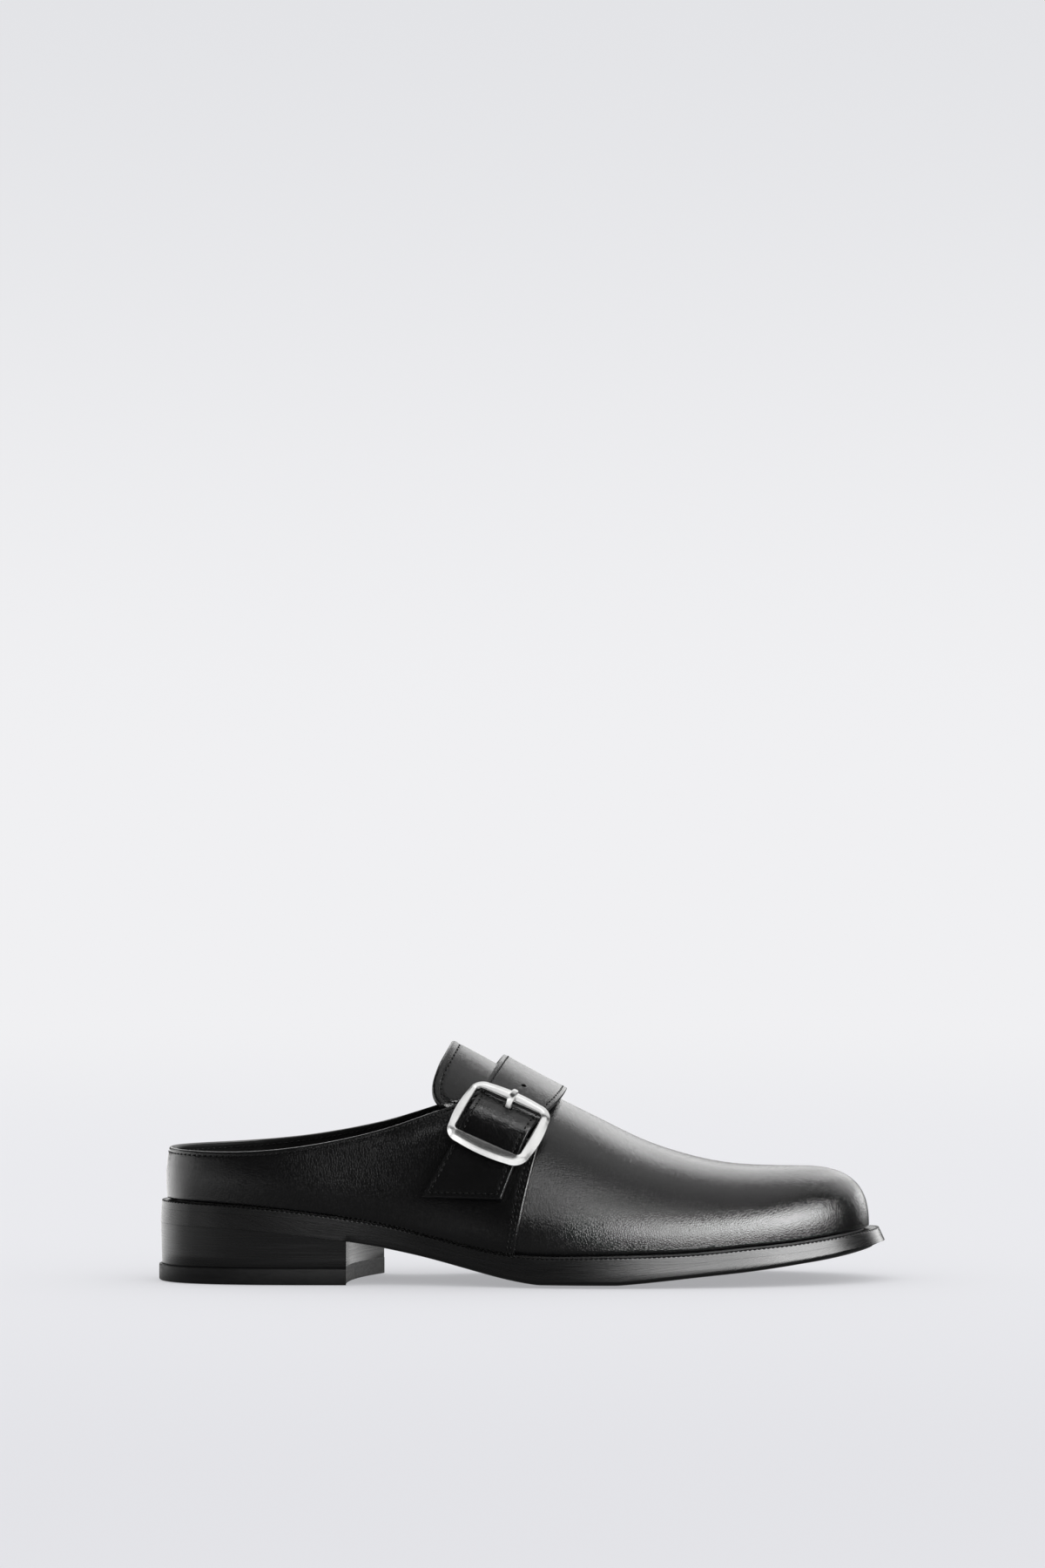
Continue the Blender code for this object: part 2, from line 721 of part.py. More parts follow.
def buckle_seat(across):
    """Point and outward direction of the vamp's face under the buckle, on one line of the strap."""
    v = np.array(BUCKLE_V)
    angle = side_angle(-1, band_u(-1, v, across(v)))
    return upper_face(angle, v), upper_normal(angle, v)


def add_tongue():
    """Leaf on the vamp's own face behind the throat, its lower edges lapped under the quarters."""
    columns, rows = 9, 27
    outer, inner = [], []
    for share in 1 - np.cos(np.linspace(0, math.pi / 2, columns)):
        line = TONGUE_BACK + (TONGUE_FRONT - TONGUE_BACK) * share
        pull = max(0.0, 1 - (line - TONGUE_BACK) / TONGUE_CORNER)
        cut = TONGUE_CORNER_RISE * (1 - math.sqrt(1 - pull * pull))

        def reached(spot):
            return spot[..., 2] - collar(spot) + TONGUE_LAP - cut

        def across(v):
            return np.full_like(np.asarray(v, dtype=float), line)

        ends = [band_end(side, across, reached) for side in (-1, 1)]
        points, normals, _ = band_line(across, ends, rows)
        dip = TONGUE_DIP * smooth_step((collar(points) - points[:, 2] + 2) / 2)
        outer.append(points - normals * dip[:, None])
        inner.append(points - normals * (dip + TONGUE_THICKNESS)[:, None])
    return sheet("tongue", np.array(outer), np.array(inner), tongue_leather)


def buckle_axes():
    """Seat of the buckle with its own directions: across the strap, up along it, and outward."""
    middle = strap_edge(0.5)
    seat, normal = buckle_seat(lambda v: middle(v) + BUCKLE_SHIFT)
    rear, _ = buckle_seat(lambda v: middle(v) - 10)
    front, _ = buckle_seat(lambda v: middle(v) + 10)
    across = front - rear
    across -= normal * (across @ normal)
    across /= np.linalg.norm(across)
    return seat, across, np.cross(normal, across), normal


def add_buckle_frame():
    """A cushion-shaped frame with a bevelled bar, and the round bar under the strap across its middle."""
    seat, across, along, normal = buckle_axes()
    around = np.linspace(0, 2 * math.pi, 48, endpoint=False)
    power = 2 / BUCKLE_SQUARENESS
    shape = np.stack(
        [np.sign(np.cos(around)) * np.abs(np.cos(around)) ** power,
         np.sign(np.sin(around)) * np.abs(np.sin(around)) ** power], axis=-1
    )
    loops = []
    for share, rise in zip(BUCKLE_BAR["inward"], BUCKLE_BAR["rise"] * BUCKLE_THICKNESS):
        half = np.array((
            BUCKLE_LENGTH / 2 - share * BUCKLE_SIDE_BAR,
            BUCKLE_HEIGHT / 2 - share * (BUCKLE_TOP_BAR + BUCKLE_BOTTOM_BAR) / 2,
        ))
        flat = shape * half + (0, share * (BUCKLE_BOTTOM_BAR - BUCKLE_TOP_BAR) / 2)
        loops.append(seat + flat[:, :1] * across + flat[:, 1:] * along + normal * (BUCKLE_STAND + rise))
    frame = ring_sweep("buckle_frame", loops, frame_metal)

    reach = BUCKLE_LENGTH / 2 - BUCKLE_SIDE_BAR + 1.6
    end_bend = ((0, BUCKLE_STAND + 1.0), (1.2, BUCKLE_STAND + 0.4), (2.0, MIDDLE_BAR_STAND))
    stations = [(inward - reach, stand) for inward, stand in end_bend]
    stations += [(reach - inward, stand) for inward, stand in end_bend[::-1]]
    turn = np.linspace(0, 2 * math.pi, 12, endpoint=False)
    bars = []
    for x, stand in stations:
        centre = seat + across * x + normal * stand
        ring = np.cos(turn)[:, None] * along + np.sin(turn)[:, None] * normal
        bars.append(centre + MIDDLE_BAR_RADIUS * ring)
    bar = ring_sweep("middle_bar", bars, frame_metal, capped=True)
    joined = frame.modifiers.new("middle_bar", "BOOLEAN")
    joined.operation, joined.solver, joined.object = "UNION", "EXACT", bar
    bar.hide_render = True
    bar.display_type = "WIRE"
    return frame


def add_buckle_prong():
    """Flat pin from beside the middle bar, up through the strap and over the top bar."""
    seat, across, along, normal = buckle_axes()
    path = np.column_stack([PRONG_PATH["up_strap"], PRONG_PATH["outward"]])
    direction = np.gradient(path, axis=0)
    direction /= np.linalg.norm(direction, axis=1, keepdims=True)
    loops = []
    for i, ((y, z), (dy, dz)) in enumerate(zip(path, direction)):
        slim = PRONG_TIP if i == len(path) - 1 else 1.0
        half, thick = PRONG_WIDTH / 2 * slim, PRONG_THICKNESS / 2 * slim
        centre = seat + along * y + normal * z
        lift = -dz * along + dy * normal
        ring = ((-half, -thick * 0.5), (-half * 0.6, -thick), (half * 0.6, -thick), (half, -thick * 0.5),
                (half, thick * 0.5), (half * 0.6, thick), (-half * 0.6, thick), (-half, thick * 0.5))
        loops.append(np.array([centre + across * a + lift * b for a, b in ring]))
    return ring_sweep("buckle_prong", loops, prong_metal, capped=True)


def cut_prong_slot(strap):
    """Slot through the strap for the prong, a little wider than it."""
    seat, across, along, normal = buckle_axes()
    half = PRONG_WIDTH / 2 + PRONG_SLACK
    corners = list(zip(PRONG_SLOT["up_strap"], PRONG_SLOT["outward"]))
    loops = [np.array([seat + across * x + along * y + normal * z for y, z in corners]) for x in (-half, half)]
    cutter = ring_sweep("prong_slot", loops, strap_leather, capped=True)
    slot = strap.modifiers.new("prong_slot", "BOOLEAN")
    slot.operation, slot.solver, slot.object = "DIFFERENCE", "EXACT", cutter
    cutter.hide_render = True
    cutter.display_type = "WIRE"


def centre_on_footprint(pieces):
    """Hangs the pieces on one empty so that the shoe stands centred over the origin."""
    corners = np.concatenate([[vertex.co[:2] for vertex in piece.data.vertices] for piece in pieces])
    middle = (corners.min(axis=0) + corners.max(axis=0)) / 2
    shoe = bpy.data.objects.new("shoe", None)
    bpy.context.scene.collection.objects.link(shoe)
    shoe.location = (-middle[0], -middle[1], 0)
    for piece in bpy.context.scene.objects:
        if piece is not shoe:
            piece.parent = shoe


strap = add_strap()
cut_prong_slot(strap)
centre_on_footprint(
    [
        add_outsole(),
        add_welt(),
        add_heel(),
        add_top_lift(),
        add_insole(),
        add_upper(),
        add_tongue(),
        strap,
        add_buckle_frame(),
        add_buckle_prong(),
    ]
)
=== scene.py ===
import json
import math

import bmesh
import bpy
import numpy as np
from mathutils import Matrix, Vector
from mathutils.bvhtree import BVHTree

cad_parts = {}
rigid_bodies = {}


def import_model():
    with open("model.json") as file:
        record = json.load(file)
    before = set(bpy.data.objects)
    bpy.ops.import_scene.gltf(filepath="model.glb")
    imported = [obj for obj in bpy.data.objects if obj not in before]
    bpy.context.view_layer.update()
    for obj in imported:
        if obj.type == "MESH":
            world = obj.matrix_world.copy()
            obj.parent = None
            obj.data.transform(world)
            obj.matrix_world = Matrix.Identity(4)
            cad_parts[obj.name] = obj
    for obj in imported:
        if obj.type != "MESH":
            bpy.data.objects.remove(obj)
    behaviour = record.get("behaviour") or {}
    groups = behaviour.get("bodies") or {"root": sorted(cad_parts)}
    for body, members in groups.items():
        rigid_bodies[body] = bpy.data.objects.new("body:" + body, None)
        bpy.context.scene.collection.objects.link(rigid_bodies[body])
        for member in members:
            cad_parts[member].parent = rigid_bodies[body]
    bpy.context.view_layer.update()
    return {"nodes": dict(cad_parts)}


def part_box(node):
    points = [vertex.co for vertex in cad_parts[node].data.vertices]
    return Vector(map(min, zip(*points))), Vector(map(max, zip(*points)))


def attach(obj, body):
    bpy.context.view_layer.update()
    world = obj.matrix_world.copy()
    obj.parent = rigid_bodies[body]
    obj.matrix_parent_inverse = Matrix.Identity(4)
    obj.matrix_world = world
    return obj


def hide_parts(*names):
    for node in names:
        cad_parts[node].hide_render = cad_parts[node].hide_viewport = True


for leftOver in list(bpy.data.objects):
    bpy.data.objects.remove(leftOver)
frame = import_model()
scene = bpy.context.scene
millimetre = 0.001
print("frame loaded:", len(frame["nodes"]), "nodes")


def readTable(columns, rows):
    return dict(zip(columns, np.array(rows, dtype=float).T))


# the last, in millimetres from the back of the heel, outer side at minus y
last = {
    "soleLength": 269.0,
    "toeTipOffset": 3.0,
    "upperGap": 0.5,
    "tuckIn": 0.7,
    "tuckHeight": 0.7,
    "bulgeHeight": 10.0,
    "bulgeSpread": 9.0,
    "liftOverhang": 0.6,
    "soleEdgeBack": 0.2,
    "outlineSteps": 800,
    "normalSpan": (0.004, 0.994),
    "seamBetween": (0.25, 0.8),
}
plan = readTable(("fromHeel", "outer", "inner"), (
    (0, 0, 0), (6, 17.8, 17.8), (20, 27.0, 27.0), (40, 31.0, 30.8), (70, 32.0, 29.0), (98, 34.5, 27.2),
    (125, 42.0, 33.6), (150, 47.4, 42.6), (175, 48.2, 47.6), (197, 46.0, 48.4), (218, 41.6, 45.6),
    (238, 34.6, 39.2), (254, 24.6, 29.8), (269, -last["toeTipOffset"], last["toeTipOffset"])))
soleSide = readTable(("fromHeel", "tread", "ledge", "weltBack", "upperBack"), (
    (0, 21.4, 29.8, 0.8, 3.9), (24, 20.7, 29.0, 0.7, 3.4), (48, 18.7, 27.0, 0.6, 2.6), (70, 15.9, 24.1, 0.5, 2.3),
    (86, 13.1, 21.3, 0.5, 2.2), (98, 10.2, 18.4, 0.5, 2.2), (109, 7.0, 15.7, 0.5, 2.4),
    (125, 2.7, 12.2, 0.6, 2.9), (137, 0.4, 10.9, 0.7, 3.3), (153, -0.6, 10.8, 0.8, 3.5),
    (178, 0.7, 11.3, 0.9, 3.7), (201, 3.0, 12.3, 1.1, 3.8), (215, 4.3, 13.5, 1.3, 4.0),
    (234, 6.6, 15.1, 1.7, 4.4), (253, 9.6, 17.4, 2.2, 5.0), (269, 13.2, 19.6, 2.6, 5.4)))
ridge = readTable(("fromHeel", "height", "offset"), (
    (34, 102.0, 0.5), (60, 103.5, 2.0), (85, 99.0, 4.0), (108.7, 88.6, 5.0), (124.2, 80.2, 5.2), (151.4, 65.4, 5.0),
    (163.1, 59.6, 4.8), (178.7, 52.0, 4.4), (194.2, 46.5, 4.0), (209.8, 43.0, 3.6), (224, 42.0, 3.3),
    (238, 42.0, 3.0)))
sections = readTable(("fromHeel", "ridgeAt", "bulge", "wall", "crown"), (
    (0, 34, 0.9, 0.62, 0.52), (30, 60, 1.2, 0.62, 0.54), (60, 85, 1.0, 0.61, 0.55), (100, 118, 0.9, 0.60, 0.57),
    (132, 143, 1.0, 0.59, 0.58), (165, 169, 0.9, 0.61, 0.60), (200, 197, 0.7, 0.65, 0.65),
    (235, 221, 0.5, 0.69, 0.69), (269, 238, 0.2, 0.71, 0.72)))
collarLine = readTable(("fromHeel", "outer", "inner"), (
    (0, 49.2, 49.2), (25, 48.5, 49.8), (48, 50.0, 51.4), (68, 53.3, 54.4), (88, 58.3, 59.0), (100, 62.2, 62.6),
    (112, 66.0, 66.4), (126, 70.3, 70.3), (138, 73.2, 73.2), (150, 75.4, 75.4), (170, 78.6, 78.6)))
seamLine = readTable(("height", "fromHeel"), (
    (10, 131.2), (23, 133.6), (36, 136.5), (48, 139.7), (60, 143.2), (72, 146.4)))


def smoothCurve(knots, values, period=None):
    knots, values = np.asarray(knots, dtype=float), np.asarray(values, dtype=float)
    if period:
        knots = np.concatenate([knots - period, knots, knots + period])
        values = np.concatenate([values] * 3)
    span = np.diff(knots)
    rise = np.diff(values) / span
    count = len(knots)
    system, right = np.eye(count), np.zeros(count)
    for i in range(1, count - 1):
        system[i, i - 1:i + 2] = span[i - 1], 2 * (span[i - 1] + span[i]), span[i]
        right[i] = 6 * (rise[i] - rise[i - 1])
    bend = np.linalg.solve(system, right)

    def at(place):
        place = np.asarray(place, dtype=float)
        inside = np.clip(place, knots[0], knots[-1])
        i = np.clip(np.searchsorted(knots, inside) - 1, 0, count - 2)
        a, b, h = knots[i + 1] - inside, inside - knots[i], span[i]
        height = (bend[i] * a**3 + bend[i + 1] * b**3) / (6 * h)
        height += (values[i] / h - bend[i] * h / 6) * a + (values[i + 1] / h - bend[i + 1] * h / 6) * b
        slope = np.where(place < knots[0], rise[0] - bend[1] * span[0] / 6, rise[-1] + bend[-2] * span[-1] / 6)
        return height + slope * (place - inside)

    return at


def curvesOf(table):  # a smooth curve for each column after the first
    knots, *columns = table.values()
    return [smoothCurve(knots, column) for column in columns]


def ringAngle(fromHeel):  # 0 at the heel, pi at the toe
    return np.arccos(np.clip(1 - 2 * np.asarray(fromHeel) / last["soleLength"], -1, 1))


def along(angle):
    return last["soleLength"] / 2 * (1 - np.cos(angle))


planAngles = ringAngle(plan["fromHeel"])
planReach = smoothCurve(
    np.concatenate([planAngles, 2 * math.pi - planAngles[-2:0:-1]]),
    np.concatenate([-plan["outer"], plan["inner"][-2:0:-1]]), 2 * math.pi)
treadCurve, ledge, weltBack, upperBack = curvesOf(soleSide)
ridgeHeight, ridgeOffset = curvesOf(ridge)
ridgeAt, bulge, wallFullness, crownFullness = curvesOf(sections)
collarOuter, collarInner = curvesOf(collarLine)
seam = curvesOf(seamLine)[0]


def treadHeight(fromHeel):
    return np.maximum(treadCurve(fromHeel), 0)


def smoothStep(value):
    value = np.clip(value, 0, 1)
    return value * value * (3 - 2 * value)


def solveRise(measure, like, between, halvings=36):  # where a rising measure passes 0
    low, high = (np.full_like(like, limit) for limit in between)
    for _ in range(halvings):
        middle = (low + high) / 2
        below = measure(middle) < 0
        low, high = np.where(below, middle, low), np.where(below, high, middle)
    return (low + high) / 2


def planPoint(angle, back=0.0):
    angle = np.asarray(angle, dtype=float)
    step = 1e-4
    ahead, behind = planReach((angle + step) % (2 * math.pi)), planReach((angle - step) % (2 * math.pi))
    across, forward = (ahead - behind) / (2 * step), last["soleLength"] / 2 * np.sin(angle)
    length = np.hypot(forward, across)
    out = np.stack([across / length, -forward / length], axis=-1)
    spot = np.stack([along(angle), planReach(angle % (2 * math.pi))], axis=-1)
    return spot - out * np.asarray(back)[..., None], out


def collarHeight(spot):
    return np.where(spot[..., 1] < 0, collarOuter(spot[..., 0]), collarInner(spot[..., 0]))


def sideAngle(side, u):  # side -1 is outer, 1 inner; u runs from heel to toe
    return math.pi * u if side < 0 else 2 * math.pi - math.pi * u


def upperFace(angle, v):  # outer face of the vamp leather, v from the feather edge to the ridge
    angle, v = np.broadcast_arrays(np.asarray(angle, dtype=float), np.asarray(v, dtype=float))
    fromHeel = along(angle)
    foot, out = planPoint(angle, upperBack(fromHeel))
    base = ledge(foot[..., 0]) + last["upperGap"]
    topAt = ridgeAt(fromHeel)
    top = np.stack([topAt, ridgeOffset(topAt)], axis=-1)
    rest = 1 - v
    reach = 3 * v**2 * rest * (1 - crownFullness(fromHeel)) + v**3
    rise = 3 * v * rest**2 * wallFullness(fromHeel) + 3 * v**2 * rest + v**3
    z = base + (ridgeHeight(topAt) - base) * rise
    swell = bulge(fromHeel) * np.exp(-(((z - base - last["bulgeHeight"]) / last["bulgeSpread"]) ** 2))
    xy = foot + (top - foot) * reach[..., None] + out * swell[..., None]
    return np.concatenate([xy, z[..., None]], axis=-1)


def unit(vectors):
    return vectors / np.linalg.norm(vectors, axis=-1, keepdims=True)


def upperNormal(angle, v):
    angle, v = np.broadcast_arrays(np.asarray(angle, dtype=float), np.asarray(v, dtype=float))
    v = np.clip(v, *last["normalSpan"])
    step = 2e-3
    roundAbout = upperFace(angle + step, v) - upperFace(angle - step, v)
    return unit(np.cross(roundAbout, upperFace(angle, v + step) - upperFace(angle, v - step)))


def seamU(side, v):
    def measure(u):
        spot = upperFace(sideAngle(side, u), v)
        return spot[..., 0] - seam(spot[..., 2])

    return solveRise(measure, v, last["seamBetween"])


# where the frame stands: the back of the heel and the middle line, from the CAD boxes
liftBox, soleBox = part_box("top_lift"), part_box("outsole")
outline, _ = planPoint(np.linspace(0, 2 * math.pi, last["outlineSteps"]),
                       np.full(last["outlineSteps"], last["soleEdgeBack"]))
frameShift = np.array((
    liftBox[0].x / millimetre + last["liftOverhang"],
    (soleBox[0].y + soleBox[1].y) / 2 / millimetre - (outline[:, 1].min() + outline[:, 1].max()) / 2,
    0.0))


def toFrame(points):
    return (np.asarray(points, dtype=float) + frameShift) * millimetre


# camera at the photograph's angle, level and square to the outer side
photoView = {"fromHeel": 134.6, "distance": 2400.0, "height": 184.0, "lens": 148.1, "sensor": 36.0,
             "clip": (0.05, 50.0)}
cameraData = bpy.data.cameras.new("photoView")
cameraData.lens, cameraData.sensor_width = photoView["lens"], photoView["sensor"]
cameraData.clip_start, cameraData.clip_end = photoView["clip"]
camera = bpy.data.objects.new("photoView", cameraData)
camera.location = toFrame((photoView["fromHeel"], -photoView["distance"], photoView["height"]))
camera.rotation_euler = (math.pi / 2, 0, 0)
scene.collection.objects.link(camera)
scene.camera = camera
print("camera placed")


# short ways to build node trees
def addNode(tree, kind, sockets=None, **settings):
    made = tree.nodes.new(kind)
    for key, value in settings.items():
        setattr(made, key, value)
    for key, value in (sockets or {}).items():
        if isinstance(value, bpy.types.NodeSocket):
            tree.links.new(value, made.inputs[key])
        else:
            made.inputs[key].default_value = value
    return made


def mathNode(tree, operation, *values):
    return addNode(tree, "ShaderNodeMath", dict(enumerate(values)), operation=operation).outputs[0]


def addNoise(tree, place, scale, detail, **more):
    return addNode(tree, "ShaderNodeTexNoise", {"Vector": place, "Scale": scale, "Detail": detail, **more}).outputs


def spread(tree, value, low, high, toLow=0.0, toHigh=1.0):
    made = addNode(tree, "ShaderNodeMapRange", {"Value": value, "From Min": low, "From Max": high, "To Min": toLow,
                                                "To Max": toHigh}, interpolation_type="SMOOTHSTEP")
    return made.outputs["Result"]


def mixColour(tree, factor, first, second):
    made = addNode(tree, "ShaderNodeMix", {0: factor, 6: (*first, 1), 7: (*second, 1)}, data_type="RGBA")
    return made.outputs[2]


def newGroup(name, inputs, outputs):
    tree = bpy.data.node_groups.new(name, "ShaderNodeTree")
    for label, default in inputs.items():
        tree.interface.new_socket(label, in_out="INPUT", socket_type="NodeSocketFloat").default_value = default
    for label in outputs:
        tree.interface.new_socket(label, in_out="OUTPUT", socket_type="NodeSocketFloat")
    given = tree.nodes.new("NodeGroupInput").outputs
    return tree, given, tree.nodes.new("NodeGroupOutput").inputs


def newMaterial(name, **values):
    material = bpy.data.materials.new(name)
    material.use_nodes = True
    tree = material.node_tree
    shader = tree.nodes["Principled BSDF"]
    for key, value in values.items():
        shader.inputs[key].default_value = value
    return material, tree, shader


def useGroup(tree, group, **values):
    made = addNode(tree, "ShaderNodeGroup", node_tree=group)
    for key, value in values.items():
        made.inputs[key].default_value = value
    return made.outputs


def addBump(tree, shader, height, strength, distance):
    bump = addNode(tree, "ShaderNodeBump", {"Strength": strength, "Distance": distance, "Height": height})
    tree.links.new(bump.outputs["Normal"], shader.inputs["Normal"])


# grain of smooth calf: soft pebbles, finer pores and a slow change of tone
grainLook = {
    "wanderScale": 420.0,
    "wander": 0.0007,
    "moundWidth": 0.3,
    "poreScale": 2.6,
    "poreWeight": 0.2,
    "broadScale": 45.0,
    "broadSpread": (0.3, 0.7),
    "depth": 0.00022,
}


def makeCalfGrain():
    tree, given, result = newGroup("calfGrain", {"Cell": 0.001}, ("Height", "Broad"))
    place = addNode(tree, "ShaderNodeTexCoord").outputs["Object"]
    perCell = mathNode(tree, "DIVIDE", 1.0, given["Cell"])
    wander = addNoise(tree, place, grainLook["wanderScale"], 1.0)["Color"]
    shifted = addNode(tree, "ShaderNodeVectorMath", {0: wander, 1: (grainLook["wander"],) * 3, 2: place},
                      operation="MULTIPLY_ADD").outputs[0]
    pebble = addNode(tree, "ShaderNodeTexVoronoi", {"Vector": shifted, "Scale": perCell}, feature="DISTANCE_TO_EDGE")
    mound = spread(tree, pebble.outputs["Distance"], 0.0, grainLook["moundWidth"])
    fineScale = mathNode(tree, "MULTIPLY", perCell, grainLook["poreScale"])
    pores = addNoise(tree, place, fineScale, 2.0)["Fac"]
    height = mathNode(tree, "MULTIPLY_ADD", pores, grainLook["poreWeight"], mound)
    broad = addNoise(tree, place, grainLook["broadScale"], 3.0)["Fac"]
    tree.links.new(height, result["Height"])
    tree.links.new(spread(tree, broad, *grainLook["broadSpread"]), result["Broad"])
    return tree


# long streaks on a dressed edge: the UV map runs along the edge and up it, in metres
streakLook = {
    "lineRoughness": 0.6,
    "bandScale": 0.22,
    "toneSpread": (0.32, 0.68),
    "glossSpread": (0.25, 0.75),
    "depth": 0.00025,
}


def makeEdgeStreaks():
    tree, given, result = newGroup("edgeStreaks", {"Along": 60.0, "Up": 2600.0}, ("Height", "Tone"))
    place = addNode(tree, "ShaderNodeUVMap", uv_map="surface").outputs["UV"]
    scale = addNode(tree, "ShaderNodeCombineXYZ", {"X": given["Along"], "Y": given["Up"]}).outputs[0]
    moved = addNode(tree, "ShaderNodeVectorMath", {0: place, 1: scale}, operation="MULTIPLY").outputs[0]
    lines = addNoise(tree, moved, 1.0, 3.0, Roughness=streakLook["lineRoughness"])["Fac"]
    wide = addNode(tree, "ShaderNodeVectorMath", {0: moved, 1: (streakLook["bandScale"],) * 3},
                   operation="MULTIPLY").outputs[0]
    bands = addNoise(tree, wide, 1.0, 2.0)["Fac"]
    tree.links.new(lines, result["Height"])
    tree.links.new(spread(tree, bands, *streakLook["toneSpread"]), result["Tone"])
    return tree


calfGrain = makeCalfGrain()
edgeStreaks = makeEdgeStreaks()


def makeLeather(name, dark, light, cell, bump, rough, shine=0.5):
    material, tree, shader = newMaterial(name, **{"Specular IOR Level": shine})
    grain = useGroup(tree, calfGrain, Cell=cell)
    tree.links.new(mixColour(tree, grain["Broad"], dark, light), shader.inputs["Base Color"])
    tree.links.new(spread(tree, grain["Broad"], 0, 1, *rough), shader.inputs["Roughness"])
    addBump(tree, shader, grain["Height"], bump, grainLook["depth"])
    return material


def makeEdgeLeather(name, dark, light, along, up, bump, rough, shine=0.5):
    material, tree, shader = newMaterial(name, **{"Specular IOR Level": shine})
    streaks = useGroup(tree, edgeStreaks, Along=along, Up=up)
    tree.links.new(mixColour(tree, streaks["Tone"], dark, light), shader.inputs["Base Color"])
    gloss = spread(tree, streaks["Height"], *streakLook["glossSpread"], *rough)
    tree.links.new(gloss, shader.inputs["Roughness"])
    addBump(tree, shader, streaks["Height"], bump, streakLook["depth"])
    return material


# satin metal: a fine even scratch and a slow change of tone
metalLook = {
    "fineScale": 2600.0,
    "slowScale": 160.0,
    "lighter": 1.12,
    "toneSpread": (0.3, 0.7),
    "glossSpread": (0.25, 0.75),
    "rough": (0.2, 0.27),
    "bump": 0.06,
    "depth": 0.00012,
}


def makeSatinMetal(name, tone):
    material, tree, shader = newMaterial(name, **{"Metallic": 1.0})
    place = addNode(tree, "ShaderNodeTexCoord").outputs["Object"]
    fine = addNoise(tree, place, metalLook["fineScale"], 3.0)["Fac"]
    slow = addNoise(tree, place, metalLook["slowScale"], 2.0)["Fac"]
    light = tuple(min(1.0, value * metalLook["lighter"]) for value in tone)
    tree.links.new(mixColour(tree, spread(tree, slow, *metalLook["toneSpread"]), tone, light),
                   shader.inputs["Base Color"])
    gloss = spread(tree, fine, *metalLook["glossSpread"], *metalLook["rough"])
    tree.links.new(gloss, shader.inputs["Roughness"])
    addBump(tree, shader, fine, metalLook["bump"], metalLook["depth"])
    return material


# cell is the grain's width in metres; along and up are streaks to the metre
calfLook = {"dark": (0.002, 0.002, 0.0022), "light": (0.003, 0.003, 0.0032), "cell": 0.00085, "bump": 0.2,
            "rough": (0.215, 0.23)}
edgeLook = {"dark": (0.002, 0.002, 0.0022), "light": (0.004, 0.004, 0.0042), "bump": 0.12, "rough": (0.24, 0.32),
            "shine": 0.38}
calf = makeLeather("blackCalf", **calfLook)
strapCalf = makeLeather("strapCalf", **calfLook)
lining = makeLeather("liningLeather", (0.0015, 0.0015, 0.0015), (0.0025, 0.0025, 0.0025),
                     cell=0.0006, bump=0.1, rough=(0.55, 0.68), shine=0.15)
footBed = makeLeather("footBedLeather", (0.007, 0.007, 0.007), (0.011, 0.011, 0.011),
                      cell=0.0007, bump=0.22, rough=(0.5, 0.62))
cutEdge = makeLeather("cutEdge", (0.006, 0.006, 0.0065), (0.010, 0.010, 0.0105),
                      cell=0.0004, bump=0.3, rough=(0.42, 0.55), shine=0.25)
treadLeather = makeLeather("treadLeather", (0.010, 0.010, 0.010), (0.016, 0.0155, 0.015),
                           cell=0.0011, bump=0.25, rough=(0.5, 0.66))
soleEdge = makeEdgeLeather("soleEdgeLeather", along=70, up=2400, **edgeLook)
weltEdge = makeEdgeLeather("weltLeather", along=90, up=2600, **edgeLook)
heelStack = makeEdgeLeather("heelStackLeather", (0.002, 0.002, 0.0022), (0.0035, 0.0035, 0.0037),
                            along=24, up=1500, bump=0.08, rough=(0.24, 0.32))
liftRubber = makeEdgeLeather("liftRubber", (0.003, 0.003, 0.0033), (0.005, 0.005, 0.0053),
                             along=300, up=900, bump=0.16, rough=(0.42, 0.54), shine=0.2)
thread = makeLeather("blackThread", (0.002, 0.002, 0.0022), (0.004, 0.004, 0.0042),
                     cell=0.0003, bump=0.3, rough=(0.4, 0.5), shine=0.2)
# near-black matte beads laid over the needle holes: painted shade of the holes
paintedHoleShade, _, _ = newMaterial("paintedHoleShade", **{"Base Color": (0.001, 0.001, 0.001, 1), "Roughness": 0.9,
                                            "Specular IOR Level": 0.1})
frameMetal = makeSatinMetal("satinFrame", (0.78, 0.78, 0.775))
prongMetal = makeSatinMetal("satinProng", (0.76, 0.76, 0.755))
print("materials ready")


def turnOutward(mesh, merge=0.0):  # points closer than merge become one
    work = bmesh.new()
    work.from_mesh(mesh)
    if merge:
        bmesh.ops.remove_doubles(work, verts=work.verts, dist=merge)
    bmesh.ops.recalc_face_normals(work, faces=work.faces)
    work.to_mesh(mesh)
    work.free()


def keepResult(piece):  # the modifiers' result becomes the piece's own mesh
    ready = piece.evaluated_get(bpy.context.evaluated_depsgraph_get())
    made = bpy.data.meshes.new_from_object(ready)
    piece.modifiers.clear()
    piece.data = made


seamMerge = 3e-6  # metres


